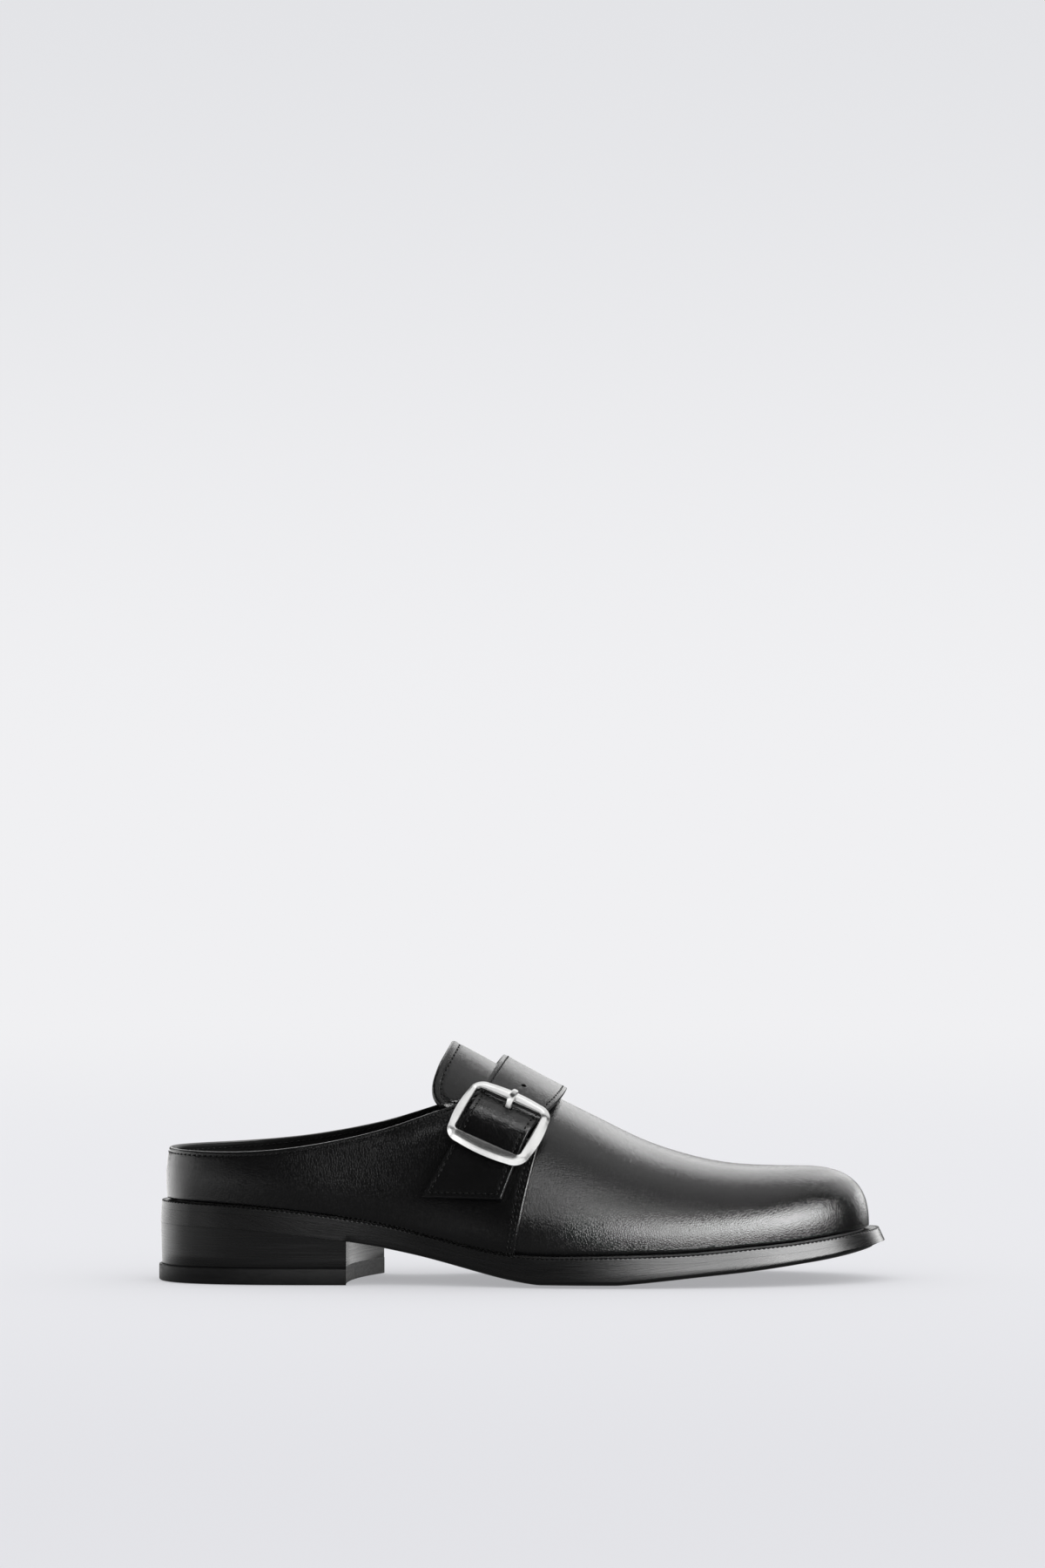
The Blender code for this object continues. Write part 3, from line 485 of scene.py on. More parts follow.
# a piece is a set of grids that meet edge to edge: points in mm, UV in metres, and a material each
def addPiece(name, grids, materials, node, sharp=42.0, cutters=()):
    vertices, faces, slots, corners = [], [], [], []
    for points, uv, index in grids:
        rows, columns = points.shape[:2]
        first = sum(len(block) for block in vertices)
        vertices.append(points.reshape(-1, 3))
        numbers = first + np.arange(rows * columns).reshape(rows, columns)
        quads = np.stack([numbers[:-1, :-1], numbers[:-1, 1:], numbers[1:, 1:], numbers[1:, :-1]], axis=-1)
        faces.append(quads.reshape(-1, 4))
        slots.append(np.full(len(faces[-1]), index))
        if uv is None:
            uv = np.zeros((rows, columns, 2))
        quadUv = np.stack([uv[:-1, :-1], uv[:-1, 1:], uv[1:, 1:], uv[1:, :-1]], axis=2)
        corners.append(quadUv.reshape(-1, 2))
    mesh = bpy.data.meshes.new(name)
    mesh.from_pydata(toFrame(np.concatenate(vertices)).tolist(), [], np.concatenate(faces).tolist())
    mesh.polygons.foreach_set("material_index", np.concatenate(slots).astype(np.int32))
    layer = mesh.uv_layers.new(name="surface")
    layer.data.foreach_set("uv", np.concatenate(corners).astype(np.float32).ravel())
    turnOutward(mesh, seamMerge)
    mesh.shade_smooth()
    mesh.set_sharp_from_angle(angle=math.radians(sharp))
    piece = bpy.data.objects.new(name, mesh)
    for material in materials:
        mesh.materials.append(material)
    scene.collection.objects.link(piece)
    for cutter in cutters:
        punch(piece, cutter)
    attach(piece, "root")
    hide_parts(node)
    return piece


def punch(piece, loops):  # cuts a closed bar, given as loops of points along it, out of a piece
    mesh = bpy.data.meshes.new("cutter")
    count = len(loops[0])
    faces = [tuple(range(count))[::-1], tuple(range((len(loops) - 1) * count, len(loops) * count))]
    for k in range(len(loops) - 1):
        for i in range(count):
            j = (i + 1) % count
            faces.append((k * count + i, k * count + j, (k + 1) * count + j, (k + 1) * count + i))
    mesh.from_pydata(toFrame(np.concatenate(loops)).tolist(), [], faces)
    turnOutward(mesh)
    mesh.materials.append(cutEdge)
    cutter = bpy.data.objects.new("cutter", mesh)
    scene.collection.objects.link(cutter)
    modifier = piece.modifiers.new("punch", "BOOLEAN")
    modifier.operation, modifier.solver, modifier.object = "DIFFERENCE", "EXACT", cutter
    modifier.material_mode = "TRANSFER"
    keepResult(piece)
    bpy.data.objects.remove(cutter)


def lengths(points):  # running length along the last but one axis, in metres
    steps = np.linalg.norm(np.diff(points, axis=-2), axis=-1)
    return np.concatenate([np.zeros((*steps.shape[:-1], 1)), np.cumsum(steps, axis=-1)], axis=-1) * millimetre


def wallGrid(loops, slot, measured=-1):  # loops one above another; the measured one gives the length along
    loops = np.array(loops)
    upward = lengths(loops.transpose(1, 0, 2)).T
    onward = np.broadcast_to(lengths(loops[measured]), upward.shape)
    return loops, np.stack([onward, upward], axis=-1), slot


dishPower = 0.7  # under 1 the dish is flat in its middle


# walls and faces of a slab over the plan, from levels of (how far back, height), underside first
def slabGrids(levels, steps, across, wallSlot=0, underSlot=0, topSlot=0, dish=0.0):
    u = np.linspace(0, 1, steps + 1)
    grids, rims = [], []
    for side in (-1, 1):
        angles = sideAngle(side, u)
        loops = []
        for back, height in levels:
            spot, _ = planPoint(angles, back(along(angles)))
            loops.append(np.column_stack([spot, height(spot[:, 0])]))
        grids.append(wallGrid(loops, wallSlot))
        rims.append((loops[0], loops[-1]))
    share = np.linspace(0, 1, across + 1)[None, :, None]
    for level, slot, sunk in ((0, underSlot, 0.0), (1, topSlot, dish)):
        outer, inner = rims[0][level], rims[1][level]
        points = outer[:, None, :] + (inner - outer)[:, None, :] * share
        points[..., 2] = levels[-level][1](points[..., 0]) - sunk * (4 * share * (1 - share))[..., 0] ** dishPower
        grids.append((points, points[..., :2] * millimetre, slot))
    return grids


def constant(value):
    return lambda x: np.full_like(x, value)


# outsole: flat under the ball, a bevelled lower edge and a nearly upright dressed edge
outsole = {
    "weltThickness": 3.0,
    "fitGap": 0.05,
    "camber": 1.4,
    "camberWidth": 21.0,
    "camberStart": 85.0,
    "camberRun": 35.0,
    "camberTaper": 0.3,
    # back from the edge, share of the camber, lift past the heel
    "lowerEdge": ((4.0, 0.5, 0.0), (1.7, 0.68, 0.0), (1.0, 0.76, 0.02), (0.55, 0.87, 0.15), (0.28, 0.96, 0.36),
                  (0.16, 1.0, 0.7), (0.1, 1.0, 1.2)),
    "bandBack": 0.1,
    "bandLift": 1.2,
    "bandTop": 0.68,
    "upperEdge": (2.2, 1.2, 0.35, 0.0),
    "edgeLead": 4.0,
    "edgeRun": 16.0,
    "steps": 220,
    "across": 24,
}


def soleTop(x):
    return ledge(x) - outsole["weltThickness"] - outsole["fitGap"]


def camber(x):
    return outsole["camber"] * smoothStep((x - outsole["camberStart"]) / outsole["camberRun"])


def bandBack(x, below):  # the dressed edge of sole and welt is one even slope; below is measured from the ledge
    low = treadHeight(x) + camber(x) + outsole["bandLift"]
    share = 1 - below / (ledge(x) - low)
    return outsole["bandBack"] + (outsole["bandTop"] * weltBack(x) - outsole["bandBack"]) * share


def addOutsole():
    def flatBack(x):
        reach = np.minimum(x, last["soleLength"] - x)
        return np.minimum(outsole["camberWidth"], outsole["lowerEdge"][0][0] + outsole["camberTaper"] * reach)

    def lowerEdge(share, lift):  # the bevel opens out from the heel's breast on
        start = heel["breastOuter"] - outsole["edgeLead"]
        return lambda x: (treadHeight(x) + share * camber(x)
                          + lift * smoothStep((x - start) / outsole["edgeRun"]))

    levels = [(flatBack, treadHeight)]
    levels += [(constant(back), lowerEdge(share, lift)) for back, share, lift in outsole["lowerEdge"]]
    for below in outsole["upperEdge"]:
        depth = below + outsole["weltThickness"] + outsole["fitGap"]
        levels.append((lambda x, depth=depth: bandBack(x, depth), lambda x, depth=depth: ledge(x) - depth))
    grids = slabGrids(levels, outsole["steps"], outsole["across"], underSlot=1, topSlot=1)
    return addPiece("outsolePiece", grids, [soleEdge, treadLeather], "outsole")


# welt: a strip all round, its top wheeled with close ribs beside the outer edge
welt = {
    "inside": 2.1,
    "edgeDepths": (3.0, 2.2, 1.4, 0.9, 0.6),
    # in from the edge, below the ledge, share of the ribs
    "top": ((0.0, 0.36, 0.3), (0.05, 0.16, 0.75), (0.18, 0.04, 1.0), (0.5, 0.0, 1.0), (0.9, 0.05, 0.7),
            (1.3, 0.14, 0.25), (1.6, 0.2, 0.0)),
    "ribPitch": 1.8,
    "ribDepth": 0.42,
    "columns": 1500,
}


def addWelt():
    u = np.linspace(0, 1, welt["columns"] + 1)
    grids = []
    for side in (-1, 1):
        angles = sideAngle(side, u)
        x = along(angles)
        edge, inside = bandBack(x, welt["top"][0][1]), upperBack(x) + welt["inside"]
        run = lengths(np.column_stack([planPoint(angles, edge)[0], ledge(x)])) / millimetre
        valley = 0.5 - 0.5 * np.cos(2 * math.pi * round(run[-1] / welt["ribPitch"]) * run / run[-1])
        section = [(inside, np.full_like(x, outsole["weltThickness"]))]
        section += [(bandBack(x, depth), np.full_like(x, depth)) for depth in welt["edgeDepths"]]
        for inward, below, share in welt["top"]:
            section.append((edge + inward, below + welt["ribDepth"] * share * valley))
        section += [(inside, np.full_like(x, below)) for below in (welt["top"][-1][1], outsole["weltThickness"])]
        loops = []
        for back, below in section:
            spot, _ = planPoint(angles, back)
            loops.append(np.column_stack([spot, ledge(spot[:, 0]) - below]))
        grids.append(wallGrid(loops, 0, measured=1))
    return addPiece("weltPiece", grids, [weltEdge], "welt", sharp=50)


# insole: a shallow dished foot bed
insole = {"rise": 2.2, "bevel": (1.0, 0.6), "bevelTurns": (0.3, 0.7, 1.0), "wall": 1.8, "dish": 0.9, "steps": 160,
          "across": 28}


def addInsole():
    def back(x):
        return upperBack(x) + insole["wall"] + 2 * outsole["fitGap"]

    inward, down = insole["bevel"]
    levels = [(back, lambda x: soleTop(x) + outsole["fitGap"]), (back, lambda x: ledge(x) + insole["rise"] - down)]
    for share in insole["bevelTurns"]:
        turn = share * math.pi / 2
        levels.append((lambda x, turn=turn: back(x) + inward * (1 - math.cos(turn)),
                       lambda x, turn=turn: ledge(x) + insole["rise"] - down * (1 - math.sin(turn))))
    grids = slabGrids(levels, insole["steps"], insole["across"], dish=insole["dish"])
    addPiece("insolePiece", grids, [footBed], "insole")


# heel block and top lift share the plan up to a hollow, slanted breast
heel = {
    "breastOuter": 69.8,
    "breastInner": 82.6,
    "breastHollow": 4.0,
    "blockLevels": ((0.62, 0.0), (0.5, 0.02), (0.42, 0.3), (0.2, 0.96), (0.14, 1.0)),
    "liftHeight": 6.0,
    "liftLevels": ((-0.1, 0.0), (-0.4, 0.03), (-0.56, 0.1), (-0.58, 0.9), (-0.5, 0.97), (-0.3, 1.0)),
    "onward": 70,
    "across": 24,
}


def heelGrids(levels):  # f runs from the heel's back to the breast, c from the outer side to the inner
    f = 1 - np.cos(np.linspace(0, math.pi / 2, heel["onward"] + 1))
    f = f / f[-1]
    c = np.linspace(0, 1, heel["across"] + 1)
    loops, caps = [], []
    for back, height in levels:
        outer, _ = planPoint(ringAngle(f * heel["breastOuter"]), np.full_like(f, back))
        inner, _ = planPoint(2 * math.pi - ringAngle(f * heel["breastInner"]), np.full_like(f, back))
        spot = outer[:, None, :] + (inner - outer)[:, None, :] * c[None, :, None]
        spot[..., 0] -= heel["breastHollow"] * 4 * (c * (1 - c))[None, :] * f[:, None] ** 2
        points = np.concatenate([spot, height(spot[..., 0])[..., None]], axis=-1)
        caps.append(points)
        loops.append(np.concatenate([points[:, 0], points[-1, 1:], points[-2::-1, -1]]))
    return [wallGrid(loops, 0)] + [(cap, cap[..., :2] * millimetre, 0) for cap in (caps[0], caps[-1])]


def addHeel():
    low = heel["liftHeight"] + outsole["fitGap"]
    levels = []
    for back, share in heel["blockLevels"]:
        levels.append((back, lambda x, share=share: low + (treadHeight(x) - outsole["fitGap"] - low) * share))
    addPiece("heelPiece", heelGrids(levels), [heelStack], "heel")


def addTopLift():
    levels = [(back, constant(heel["liftHeight"] * share)) for back, share in heel["liftLevels"]]
    addPiece("topLiftPiece", heelGrids(levels), [liftRubber], "top_lift")


outsolePiece = addOutsole()
weltPiece = addWelt()
addInsole()
addHeel()
addTopLift()
print("sole, welt, heel and insole made")


# a sheet of leather between two grids: face, lining and a rim whose section is (share of thickness, bulge out)
def sheetGrids(face, back, rim=((0.0, 0.0), (1.0, 0.0)), openEdge=None):
    grids = [(face, None, 0), (back, None, 1)]
    edges = {"firstRow": (face[0], back[0], face[1]),
             "lastRow": (face[-1], back[-1], face[-2]),
             "firstColumn": (face[:, 0], back[:, 0], face[:, 1]),
             "lastColumn": (face[:, -1], back[:, -1], face[:, -2])}
    for name, (top, under, inside) in edges.items():
        if name == openEdge:
            continue
        out = top - inside
        out = out / np.maximum(np.linalg.norm(out, axis=-1, keepdims=True), 1e-9)
        grids.append((np.array([top + (under - top) * share + out * proud for share, proud in rim]), None, 2))
    return grids


def nearest(points, line):  # distance from each point to a line of points
    flat = points.reshape(-1, 3)
    best = np.full(len(flat), 1e9)
    for start, end in zip(line[:-1], line[1:]):
        run = end - start
        share = np.clip((flat - start) @ run / max(run @ run, 1e-12), 0, 1)
        best = np.minimum(best, np.linalg.norm(flat - start - share[:, None] * run, axis=1))
    return best.reshape(points.shape[:-1])


def edgeDrop(distance, radius):  # how far a rounded edge falls away
    inside = np.clip(radius - distance, 0, radius)
    return radius - np.sqrt(radius**2 - inside**2)


def bevelDrop(distance, width, depth, power):
    return depth * np.clip(1 - distance / width, 0, 1) ** power


def footTuck(spots):  # the leather turns in over the welt at its foot
    low = ledge(spots[..., 0]) + last["upperGap"]
    return last["tuckIn"] * np.clip(1 - (spots[..., 2] - low) / last["tuckHeight"], 0, 1) ** 2


def groove(distance, at, width, depth):  # a sewn row pulls the leather down
    return depth * np.exp(-(((distance - at) / width) ** 2))


# quarters: one sheet from the outer front edge round the heel to the inner front edge
quarters = {
    "rise": 1.2,
    "wall": 1.8,
    "lapRise": 1.7,
    "tongueLap": 4.0,
    "lapMargin": 3.4,
    "lapFade": 2.2,
    "lapStart": 84.0,
    "lapRun": 12.0,
    "lapUnder": 0.3,
    "length": 150.0,
    "overlap": 9.0,
    "overlapFade": 2.0,
    "overlapGap": 0.06,
    "topRound": 0.75,
    "frontBevel": (0.45, 0.42, 1.2),  # width, depth and power
    "frontRim": ((0.0, 0.0), (0.33, 0.04), (0.66, 0.04), (1.0, 0.0)),
    "topRim": (0, 0.5, 1),
    "topStitch": 1.8,
    "frontStitches": (1.5, 2.9),
    "grooveWidth": 0.5,
    "grooveDepth": 0.1,
    "gripEnd": 35.4,
    "gripStep": 0.5,
    "gripFade": 0.9,
    "evenFrom": 14.0,  # from here back the columns turn from the front edge's line to even steps
    "evenRun": 30.0,
    "stitchStart": 4,  # rows below the top edge
    "nearTop": (0, 0.1, 0.22, 0.4, 0.62, 0.9, 1.2, 1.5, 1.8, 2.1, 2.5, 3.0, 3.8, 5.0, 6.8),
    "nearFront": (0, 0.08, 0.2, 0.34, 0.5, 0.8, 1.1, 1.5, 1.9, 2.2, 2.5, 2.9, 3.3, 3.8, 4.6, 5.6, 7.0, 8.8, 9.6,
                  10.4, 11.4),
    "farColumns": 76,
    "farRows": 26,
    "measureRows": 161,
}


def lapWeight(spot):
    depth = collarHeight(spot) - spot[..., 2]
    over = smoothStep((quarters["tongueLap"] + quarters["lapMargin"] - depth) / quarters["lapFade"])
    return over * smoothStep((spot[..., 0] - quarters["lapStart"]) / quarters["lapRun"])


def frontSpeed(side, v, start):  # millimetres of face for each unit of u at the front edge
    step = 1e-3
    ahead, behind = upperFace(sideAngle(side, start + step), v), upperFace(sideAngle(side, start - step), v)
    return np.linalg.norm(ahead - behind, axis=-1) / (2 * step)


def quarterHalf(side):
    fine = np.linspace(0, 1, quarters["measureRows"])
    start = seamU(side, fine)
    speed = frontSpeed(side, fine, start)
    near = np.array(quarters["nearFront"], dtype=float)
    far = np.linspace(near[-1], quarters["length"], quarters["farColumns"] + 1)[1:]
    behind = np.concatenate([near, far])[:, None]
    blend = smoothStep((behind - quarters["evenFrom"]) / quarters["evenRun"])
    u = (1 - blend) * (start - behind / speed) + blend * start * (1 - behind / quarters["length"])
    u = np.maximum(u, 0)
    spots = upperFace(sideAngle(side, u), np.broadcast_to(fine, u.shape))
    over = spots[..., 2] - collarHeight(spots)
    columns, rims = [], []
    for i in range(len(behind)):
        run = lengths(spots[i]) / millimetre
        above = np.nonzero(over[i] > 0)[0]
        top = run[-1]
        if len(above):
            j = max(above[0], 1)
            top = np.interp(0, (over[i][j - 1], over[i][j]), (run[j - 1], run[j]))
        nearTop = np.array(quarters["nearTop"])
        rest = nearTop[-1] + (top - nearTop[-1]) * np.linspace(0, 1, quarters["farRows"] + 1)[1:]
        v = np.interp(top - np.concatenate([nearTop, rest]), run, fine)
        if not len(above):
            v[0] = 1.0
        columns.append((np.interp(v, fine, u[i]), v))
        rims.append(bool(len(above)))
    return *(np.array(part) for part in zip(*columns)), rims


def addQuarters():
    halves = [quarterHalf(side) for side in (-1, 1)]
    angles = np.concatenate([sideAngle(-1, halves[0][0]), sideAngle(1, halves[1][0][-2::-1])])
    v = np.concatenate([halves[0][1], halves[1][1][-2::-1]])
    reachesRim = np.array(halves[0][2] + halves[1][2][-2::-1])
    spots, normals = upperFace(angles, v), upperNormal(angles, v)
    joined = ~reachesRim & ~reachesRim[::-1]
    meet = unit(normals[:, 0] + normals[::-1, 0])
    normals[joined, 0] = meet[joined]
    topLine = spots[reachesRim, 0]
    toTop = nearest(spots, topLine)
    toFront = np.minimum(nearest(spots, spots[0]), nearest(spots, spots[-1]))
    lap = lapWeight(spots)
    rise = quarters["rise"] + (quarters["lapRise"] - quarters["rise"]) * lap
    rise = rise - edgeDrop(toTop, quarters["topRound"])
    rise = rise - bevelDrop(toFront, *quarters["frontBevel"]) - footTuck(spots)
    rise -= groove(toTop, quarters["topStitch"], quarters["grooveWidth"], quarters["grooveDepth"])
    for at in quarters["frontStitches"]:
        rise -= groove(toFront, at, quarters["grooveWidth"], quarters["grooveDepth"])
    sink = -quarters["wall"] + (quarters["wall"] + quarters["lapUnder"]) * lap
    sink -= quarters["gripStep"] * (1 - smoothStep((spots[..., 0] - quarters["gripEnd"]) / quarters["gripFade"]))
    sink += edgeDrop(toTop, quarters["topRound"])
    over = 1 - smoothStep((toFront - quarters["overlap"]) / quarters["overlapFade"])
    sink = sink * (1 - over) + np.maximum(sink, quarters["overlapGap"]) * over
    face, back = spots + normals * rise[..., None], spots + normals * sink[..., None]
    shared = np.nonzero(joined)[0]
    face[-1 - shared, 0] = face[shared, 0]
    back[-1 - shared, 0] = back[shared, 0]
    grids = sheetGrids(face, back, quarters["frontRim"], openEdge="firstColumn")
    whole = np.nonzero(reachesRim)[0]
    strip = slice(whole[0], whole[-1] + 1)
    rimFace, rimBack = face[strip, 0], back[strip, 0]
    grids.append((np.array([rimFace + (rimBack - rimFace) * share for share in quarters["topRim"]]), None, 2))
    piece = addPiece("quartersPiece", grids, [calf, lining, cutEdge], "upper", sharp=48)
    topRow = quarters["nearTop"].index(quarters["topStitch"])
    rows = [(face[strip, topRow], normals[strip, topRow]), (back[strip, topRow], -normals[strip, topRow])]
    for at in quarters["frontStitches"]:
        column = quarters["nearFront"].index(at)
        below = slice(quarters["stitchStart"], None)
        rows += [(face[k, below], normals[k, below]) for k in (column, -1 - column)]
    return piece, rows


# vamp: from under the quarters round the toe
vamp = {
    "wall": 1.8,
    "columns": 130,
    "rows": 84,
    "rowPower": 1.15,
    "overlap": 8.0,
    "overlapAtRidge": 3.0,
    "ridgeFrom": 0.55,
    "ridgeRun": 0.3,
}


def addVamp():
    v = 1 - (1 - np.linspace(0, 1, vamp["rows"] + 1)) ** vamp["rowPower"]
    spare = vamp["overlapAtRidge"] - vamp["overlap"]
    lapUnder = vamp["overlap"] + spare * smoothStep((v - vamp["ridgeFrom"]) / vamp["ridgeRun"])
    share = np.linspace(0, 1, vamp["columns"] + 1)[:, None]
    halves = []
    for side in (-1, 1):
        start = seamU(side, v)
        start = start - lapUnder / frontSpeed(side, v, start)
        halves.append(sideAngle(side, start + (1 - start) * share))
    angles = np.concatenate([halves[0], halves[1][-2::-1]])
    v = np.broadcast_to(v, angles.shape)
    spots, normals = upperFace(angles, v), upperNormal(angles, v)
    normals[:, -1] = unit(normals[:, -1] + normals[::-1, -1])
    face, back = spots - normals * footTuck(spots)[..., None], spots - normals * vamp["wall"]
    grids = sheetGrids(face, back, openEdge="lastColumn")
    return addPiece("vampPiece", grids, [calf, lining, cutEdge], "upper", sharp=48)


quartersPiece, quarterRows = addQuarters()
vampPiece = addVamp()
print("upper made")


# strap and tongue lie across the instep in a leaning plane
strap = {
    "at": (137.6, 73.4),
    "lean": math.radians(29.5),
    "thickness": 2.4,
    "lay": 2.3,
    "tipHeight": 31.9,
    "tipSlant": 0.9,
    "endHeight": 36.0,
    "lift": 2.6,
    "liftReach": 12.0,
    "round": 0.3,
    "underRound": 0.4,
    "rim": ((0.0, 0.0), (0.3, 0.12), (0.7, 0.12), (1.0, 0.0)),
    "stitch": 1.75,
    "grooveWidth": 0.5,
    "grooveDepth": 0.08,
    "wrinkle": 0.05,
    "wrinkleGap": 2.6,
    "wrinkleDrift": (2.2, 9.0, 3.0),  # sway of the wrinkles across the strap, its turns, and a steady slide
    "wrinkleFade": 3.0,
    "hole": (135.05, -14.01, 72.55),
    "holeAxis": (0.331, -0.499, 0.801),
    "holeRadius": 0.95,
    "holeReach": (-6.0, 4.0),
    "holeSides": 28,
    "nearEdge": (0, 0.1, 0.25, 0.45, 0.75, 1.1, 1.45, 1.75, 2.1, 2.6, 3.3),
    "middleColumns": 26,
    "nearEnd": (0, 0.1, 0.25, 0.5, 0.9, 1.35, 1.75, 2.2, 3.0, 4.0),
    "lengthRows": 150,
    "tipSection": 0.1,
    "between": (0.03, 0.85),
    "endBetween": (0.02, 0.98),
    "endSteps": 240,
    "lineSteps": 120,
}
strapEdges = readTable(("section", "rear", "front"), (
    (0.1, -13.8, 13.2), (0.3, -13.9, 10.4), (0.47, -14.0, 9.3), (0.62, -14.1, 10.4), (0.8, -13.9, 12.6),
    (1.0, -13.4, 13.4)))
strapRear, strapFront = curvesOf(strapEdges)
strapForward = np.array((math.cos(strap["lean"]), 0.0, -math.sin(strap["lean"])))
strapOrigin = np.array((strap["at"][0], 0.0, strap["at"][1]))


def bandU(side, v, across):
    def measure(u):
        return (upperFace(sideAngle(side, u), v) - strapOrigin) @ strapForward - across

    return solveRise(measure, v, strap["between"])


def bandPoints(across, place):  # place under 0 is the outer side, 0 the ridge
    v = 1 - np.abs(place)
    angle = np.where(place <= 0, sideAngle(-1, bandU(-1, v, across(v))), sideAngle(1, bandU(1, v, across(v))))
    return upperFace(angle, v), upperNormal(angle, v)


def bandEnd(side, across, reached):
    v = np.linspace(*strap["endBetween"], strap["endSteps"])
    left = reached(upperFace(sideAngle(side, bandU(side, v, across(v))), v))
    lower = int(np.nonzero(left < 0)[0][-1])
    return v[lower] + (v[lower + 1] - v[lower]) * left[lower] / (left[lower] - left[lower + 1])


def bandLine(across, ends, placesOf):  # placesOf turns a whole length in mm into lengths from the outer end
    signed = np.concatenate([np.linspace(ends[0] - 1, 0, strap["lineSteps"]),
                             np.linspace(0, 1 - ends[1], strap["lineSteps"])[1:]])
    run = lengths(bandPoints(across, signed)[0]) / millimetre
    place = np.interp(placesOf(run[-1]), run, signed)
    return *bandPoints(across, place), place


def strapColumns():
    near = np.array(strap["nearEdge"])
    columns = [lambda v, d=d: strapRear(v) + d for d in near]
    for share in np.linspace(0, 1, strap["middleColumns"] + 1)[1:-1]:
        columns.append(lambda v, share=share: (strapRear(v) + near[-1]) * (1 - share)
                       + (strapFront(v) - near[-1]) * share)
    return columns + [lambda v, d=d: strapFront(v) - d for d in near[::-1]]


def strapPlaces(total):
    near = np.array(strap["nearEnd"])
    middle = np.linspace(near[-1], total - near[-1], strap["lengthRows"] + 1)[1:-1]
    return np.concatenate([near, middle, total - near[::-1]])


def addStrap():
    spots, normals, rises = [], [], []
    tip = np.array(strap["tipSection"])
    drift, driftTurn, slide = strap["wrinkleDrift"]
    for across in strapColumns():
        share = float((across(tip) - strapRear(tip)) / (strapFront(tip) - strapRear(tip)))
        ends = []
        for side, height in ((-1, strap["tipHeight"] - strap["tipSlant"] * share), (1, strap["endHeight"])):
            ends.append(bandEnd(side, across, lambda spot, height=height: spot[..., 2] - height))
        points, outward, place = bandLine(across, ends, strapPlaces)
        centre, _ = buckleSeat(across)
        away = np.linalg.norm(points - centre, axis=-1)
        lifted = smoothStep(1 - away / strap["liftReach"]) * (place < 0)
        shift = drift * math.sin(driftTurn * share) + slide * share
        wave = np.sin(2 * math.pi * away / strap["wrinkleGap"] + shift) * smoothStep(strap["wrinkleFade"] * lifted)
        rises.append(strap["lay"] + strap["lift"] * lifted + strap["wrinkle"] * wave)
        spots.append(points)
        normals.append(outward)
    spots, normals, rises = np.array(spots), np.array(normals), np.array(rises)
    rim = np.concatenate([spots[:, 0], spots[-1], spots[::-1, -1], spots[0, ::-1]])
    toEdge = nearest(spots, rim)
    top = rises + strap["thickness"] - edgeDrop(toEdge, strap["round"])
    top -= groove(toEdge, strap["stitch"], strap["grooveWidth"], strap["grooveDepth"])
    under = rises + edgeDrop(toEdge, strap["underRound"])
    face, back = spots + normals * top[..., None], spots + normals * under[..., None]
    axis = unit(np.array(strap["holeAxis"]))
    flat = unit(np.cross(axis, (0.0, 0.0, 1.0)))
    turn = np.linspace(0, 2 * math.pi, strap["holeSides"], endpoint=False)
    ring = strap["holeRadius"] * (np.cos(turn)[:, None] * flat + np.sin(turn)[:, None] * np.cross(axis, flat))
    hole = [np.array(strap["hole"]) + ring + axis * reach for reach in strap["holeReach"]]
    piece = addPiece("strapPiece", sheetGrids(face, back, strap["rim"]), [strapCalf, lining, cutEdge], "strap",
                     sharp=60, cutters=[hole, prongSlot()])
    i, j = strap["nearEdge"].index(strap["stitch"]), strap["nearEnd"].index(strap["stitch"])
    loops = []
    for grid in (face, normals):
        loops.append(np.concatenate([grid[i, j:-j][::-1], grid[i:-i, j][1:-1], grid[-1 - i, j:-j],
                                     grid[i:-i, -1 - j][::-1][1:], grid[i, -1 - j][None]]))
    return piece, [tuple(loops)]


def evenLine(line, gap=0.5):
    run = lengths(line) / millimetre
    keep = np.concatenate([[True], np.diff(run) > 1e-6])
    places = np.linspace(0, run[-1], max(2, int(run[-1] / gap)))
    return np.column_stack([np.interp(places, run[keep], line[keep, k]) for k in range(3)])


def layOn(piece, points, outward, above=0.6):  # the nearest places on a piece's face, and its directions there
    mesh = piece.data
    tree = BVHTree.FromPolygons([v.co for v in mesh.vertices], [tuple(f.vertices) for f in mesh.polygons])
    hits = [tree.find_nearest(Vector(p)) for p in toFrame(points + outward * above)]
    spots = np.array([hit[0] for hit in hits]) / millimetre - frameShift
    return spots, np.array([hit[1] for hit in hits])


# tongue: two leaves sewn together round the rear edge
tongue = {
    "back": -32.8,
    "front": 1.5,
    "corner": 24.0,
    "cornerRise": 22.0,
    "lap": 4.0,
    "dip": 0.7,
    "dipFade": 2.0,
    "thickness": 1.7,
    "layers": ((0.0, 0.0), (0.2, 0.1), (0.42, 0.1), (0.5, -0.25), (0.58, 0.1), (0.8, 0.1), (1.0, 0.0)),
    "round": 1.2,
    "underRound": 0.4,
    "stitch": 3.2,
    "sewnTo": 0.5,
    "grooveWidth": 0.65,
    "grooveDepth": 0.26,
    "columns": 46,
    "rows": 120,
}


